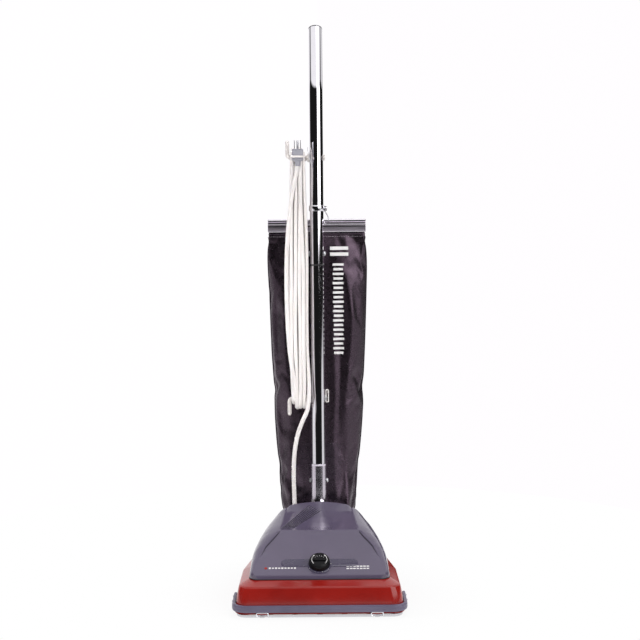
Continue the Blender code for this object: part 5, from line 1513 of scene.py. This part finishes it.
def fold_at(x, height, front):
    """How far the cloth stands out there: gentle waves, four pleats in front and gathers low down."""
    fold = 0.0036 * math.sin(3.0 * x / 0.05 + 5.0 * height + (0 if front else 2.0))
    fold += 0.0046 * noise.noise(Vector((x * 17, 3 if front else 9, height * 6)))
    if front:
        waver = 0.004 * math.sin(9 * height)
        for middle, width, out, way in PLEATS:
            ridge = math.exp(-((x - middle - way * waver) / width) ** 2)
            fold += share_of((0.61 - height) / 0.12) * out * ridge
    return fold + 0.0030 * max(0.0, 1 - (height - 0.05) / 0.16) * math.sin(x / 0.0075 + 9 * height)


def bag_grid():
    low, high = BAG_SECTIONS[0][0], BAG_SECTIONS[-1][0]
    count = round((high - low) / BAG_STEP)
    rows = []
    for height in (low + (high - low) * k / count for k in range(count + 1)):
        half, depth, back = bag_place(height)
        free = share_of((height - NECK_TOP) / 0.05) * share_of((HEM_LOW - height) / 0.08)
        row = []
        for k in range(BAG_AROUND):
            turn = 2 * math.pi * (k + 0.5) / BAG_AROUND
            wide, deep = squarish(turn, BAG_SQUARE if height > 0.05 else 1.0)
            x, y = half * wide, depth / 2 * deep
            fold = fold_at(x, height, y < 0) * free * min(1.0, abs(math.sin(turn)) * 1.6)
            row.append((x, back + y + math.copysign(1, y) * fold, height))
        rows.append(row)
    return rows


def simulate_bag(mesh):
    """Let the cloth take its folds between the clamped hem and the collar."""
    cloth = shown("bag_cloth_sim", mesh)
    start = [v.co.copy() for v in mesh.vertices]
    held = cloth.vertex_groups.new(name="held")
    held.add([v.index for v in mesh.vertices if not NECK_TOP <= v.co.z <= HEM_LOW], 1.0, "REPLACE")
    sim = cloth.modifiers.new("Cloth", "CLOTH")
    settings = sim.settings
    settings.quality = 5
    settings.mass = 0.25
    settings.tension_stiffness = 20
    settings.compression_stiffness = 20
    settings.shear_stiffness = 8
    settings.bending_stiffness = 0.35
    settings.shrink_min = -0.028
    settings.vertex_group_mass = "held"
    settings.use_pressure = True
    settings.uniform_pressure_force = 0.9
    settings.effector_weights.gravity = 0.0
    sim.collision_settings.use_collision = False
    sim.collision_settings.use_self_collision = False
    sim.point_cache.frame_start = 1
    sim.point_cache.frame_end = SIM_FRAMES
    scene = bpy.context.scene
    for number in range(1, SIM_FRAMES + 1):
        scene.frame_set(number)
    after = cloth.evaluated_get(bpy.context.evaluated_depsgraph_get())
    spots = [v.co.copy() for v in after.to_mesh().vertices]
    after.to_mesh_clear()
    bpy.data.objects.remove(cloth)
    scene.frame_set(1)
    for v, old, new in zip(mesh.vertices, start, spots):
        move = new - old
        if move.length > MOST_MOVE:
            move *= MOST_MOVE / move.length
        v.co = kept_clear(old + move)


def kept_clear(spot):
    """A point of the cloth, pushed back where the tube and the cord hang in front of it."""
    if spot.y < 0.060:
        if abs(spot.x) < 0.034:
            spot.y = max(spot.y, TUBE_ROOM)
        if -0.070 < spot.x < -0.010 and 0.28 < spot.z < 0.66:
            spot.y = max(spot.y, CORD_ROOM)
    return spot


def on_cloth(tree, start, way):
    """Point and outward direction where a line first meets the cloth."""
    hit, out, _, _ = tree.ray_cast(start, way)
    return None if hit is None else (hit, -out if out.dot(way) > 0 else out)


def on_front(tree, x, height):
    return on_cloth(tree, Vector((x, -0.1, height)), Vector((0, 1, 0)))


def on_side(tree, side, height):
    return on_cloth(tree, Vector((side * 0.3, bag_place(height)[2], height)), Vector((-side, 0, 0)))


def stitches(tree, line, length=0.0032, gap=0.0022, radius=0.0006):
    """Separate thread stitches along a line of (x, height) on the bag's front."""
    path = [Vector(point) for point in line]
    made = []
    for start, end in zip(path, path[1:]):
        count = max(1, int((end - start).length / (length + gap)))
        for k in range(count):
            spots = []
            for share, lift in ((0.0, 0.00005), (0.5, 0.0005), (1.0, 0.00005)):
                found = on_front(tree, *start.lerp(end, (k + share * length / (length + gap)) / count))
                if found:
                    spots.append(found[0] + found[1] * lift)
            if len(spots) == 3:
                made.append(sweep(spots, radius, 5))
    return made


def laid_on(tree, left, right, low, high, lift, thick, across, up, corner=0.0):
    """A thin panel that lies on the bag's front, its top corners rounded."""
    under, over = [], []
    for k in range(up + 1):
        height = low + (high - low) * k / up
        inset = corner_inset(corner, high - height)
        a, b = left + inset, right - inset
        found = [on_front(tree, a + (b - a) * i / across, height) for i in range(across + 1)]
        if all(found):
            under.append([spot + out * lift for spot, out in found])
            over.append([spot + out * (lift + thick) for spot, out in found])
    points, faces = bridge(over, closed=False)
    base = len(points)
    more, back = bridge(under, closed=False)
    faces += [tuple(base + i for i in reversed(face)) for face in back]
    rows, count = len(over), across + 1
    rim = [(0, i) for i in range(count)] + [(r, count - 1) for r in range(1, rows)]
    rim += [(rows - 1, i) for i in range(count - 2, -1, -1)] + [(r, 0) for r in range(rows - 2, 0, -1)]
    rim = [r * count + i for r, i in rim]
    faces += [(a, b, base + b, base + a) for a, b in zip(rim, rim[1:] + rim[:1])]
    return mesh_of(points + more, faces)


def bag_seams(tree):
    seams = []
    for side in (-1, 1):
        found = [on_side(tree, side, 0.046 + 0.602 * k / 119) for k in range(120)]
        seams.append(sweep([spot + out * 0.0004 for spot, out in filter(None, found)], 0.0013, 8,
                           section=oval(1.0, 0.9)))
    return seams


def bag_threads(tree):
    """Two rows down the placket, one round the patch and one along the hem."""
    threads = []
    for x in (0.0045, 0.0103):
        threads += stitches(tree, [(x, 0.645), (x, 0.385)])
    patch = [(-0.0435, 0.09), (-0.0435, 0.1985), (-0.0402, 0.2055), (-0.0335, 0.2082),
             (0.0345, 0.2082), (0.0412, 0.2055), (0.0445, 0.1985), (0.0445, 0.09)]
    threads += stitches(tree, patch, 0.003, 0.0018)
    return threads + stitches(tree, [(-0.098, 0.6485), (0.098, 0.6485)], 0.003, 0.0016, 0.00042)


def bag_print(tree):
    """Plain printed stripes: a column of short ones and two long ones above it."""
    spots = []
    for k in range(20):
        inset = 0.0016 if k % 2 else 0.0
        spots.append((0.033 + inset, 0.056 - inset, 0.5915 - 0.00985 * k, 0.005))
    spots += [(0.0275, 0.066, 0.627 - 0.0125 * k, 0.0072) for k in range(2)]
    return [laid_on(tree, left, right, high - tall, high, STRIPE_LIFT, STRIPE_THICK, 6, 3)
            for left, right, high, tall in spots]


def hem_line():
    half, depth, back = bag_place(0.6540)
    made = []
    for k in range(BAG_AROUND):
        wide, deep = squarish(2 * math.pi * k / BAG_AROUND, BAG_SQUARE)
        made.append((half * wide, back + (depth / 2 + 0.0004) * deep, 0.6535))
    return made


def bag():
    """Dust bag of coated cloth: a thin shell with hem, side seams, centre stitching and a patch."""
    mesh = mesh_of(*bridge(bag_grid()), 180)
    simulate_bag(mesh)
    smooth = shaped(mesh, finer)
    tree = tree_of(smooth)
    shell = shaped(smooth, wall(CLOTH_WALL))
    shell.shade_smooth()
    made = piece("dust_bag", shell, CLOTH, None, ("bag",), HANDLE)
    patch = laid_on(tree, -0.046, 0.047, 0.085, 0.2105, 0.0001, 0.0009, 24, 36, 0.012)
    soft = [made, piece("bag_side_seams", bag_seams(tree), BINDING, place=HANDLE),
            piece("bag_patch", patch, BINDING, place=HANDLE),
            piece("bag_stitches", bag_threads(tree), PALE_THREAD, place=HANDLE)]
    for thing in soft:
        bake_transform(thing)
    placket = laid_on(tree, 0.0030, 0.0118, 0.380, 0.644, 0.0001, 0.0006, 5, 44)
    piece("bag_placket", placket, BINDING, "handle", place=HANDLE)
    piece("bag_print", bag_print(tree), MARKS, "handle", place=HANDLE, slot="bag_fabric")
    piece("bag_hem_cord", sweep(hem_line(), 0.001, 8, closed=True), BINDING, "handle", place=HANDLE)


# ---------------------------------------------------------------- pieces kept from the frame
SHOWN_AS_MADE = {
    "brush_shaft": ZINC, "brush_bearing_left": BLACK, "brush_bearing_right": BLACK, "drive_belt": RUBBER,
    "height_plunger": ZINC, "wheel_carriage": ZINC, "front_axle": ZINC, "rear_axle": ZINC,
    "carriage_pin_left": ZINC, "carriage_pin_right": ZINC, "motor_armature": STEEL, "suction_fan": FAN_GREY,
    "motor_stator": STEEL, "motor_bearing_front": ZINC, "motor_bearing_rear": ZINC,
    "carbon_brush_left": CARBON, "carbon_brush_right": CARBON, "exhaust_duct": BLACK,
}


def keep(node, finish):
    """A frame node shown as it is, with its edges broken."""
    node.data.materials.clear()
    node.data.materials.append(finish)
    edge = node.modifiers.new("Edge", "BEVEL")
    edge.width = 0.0004
    edge.segments = 2
    edge.limit_method = "ANGLE"
    edge.angle_limit = math.radians(40)
    shade(node.data)


def assemble():
    for make in (camera, studio, lights, floor, cord, hooks, hood, knob, housing, bumper, sole, brush_roll,
                 wheels, motor_can, motor_cover, fan_scroll, outlet, relief, pedals, tubes, bolts, bail,
                 clamp, hanger, tube_trims, bag):
        make()
    for name, finish in SHOWN_AS_MADE.items():
        keep(frame["nodes"][name], finish)


assemble()
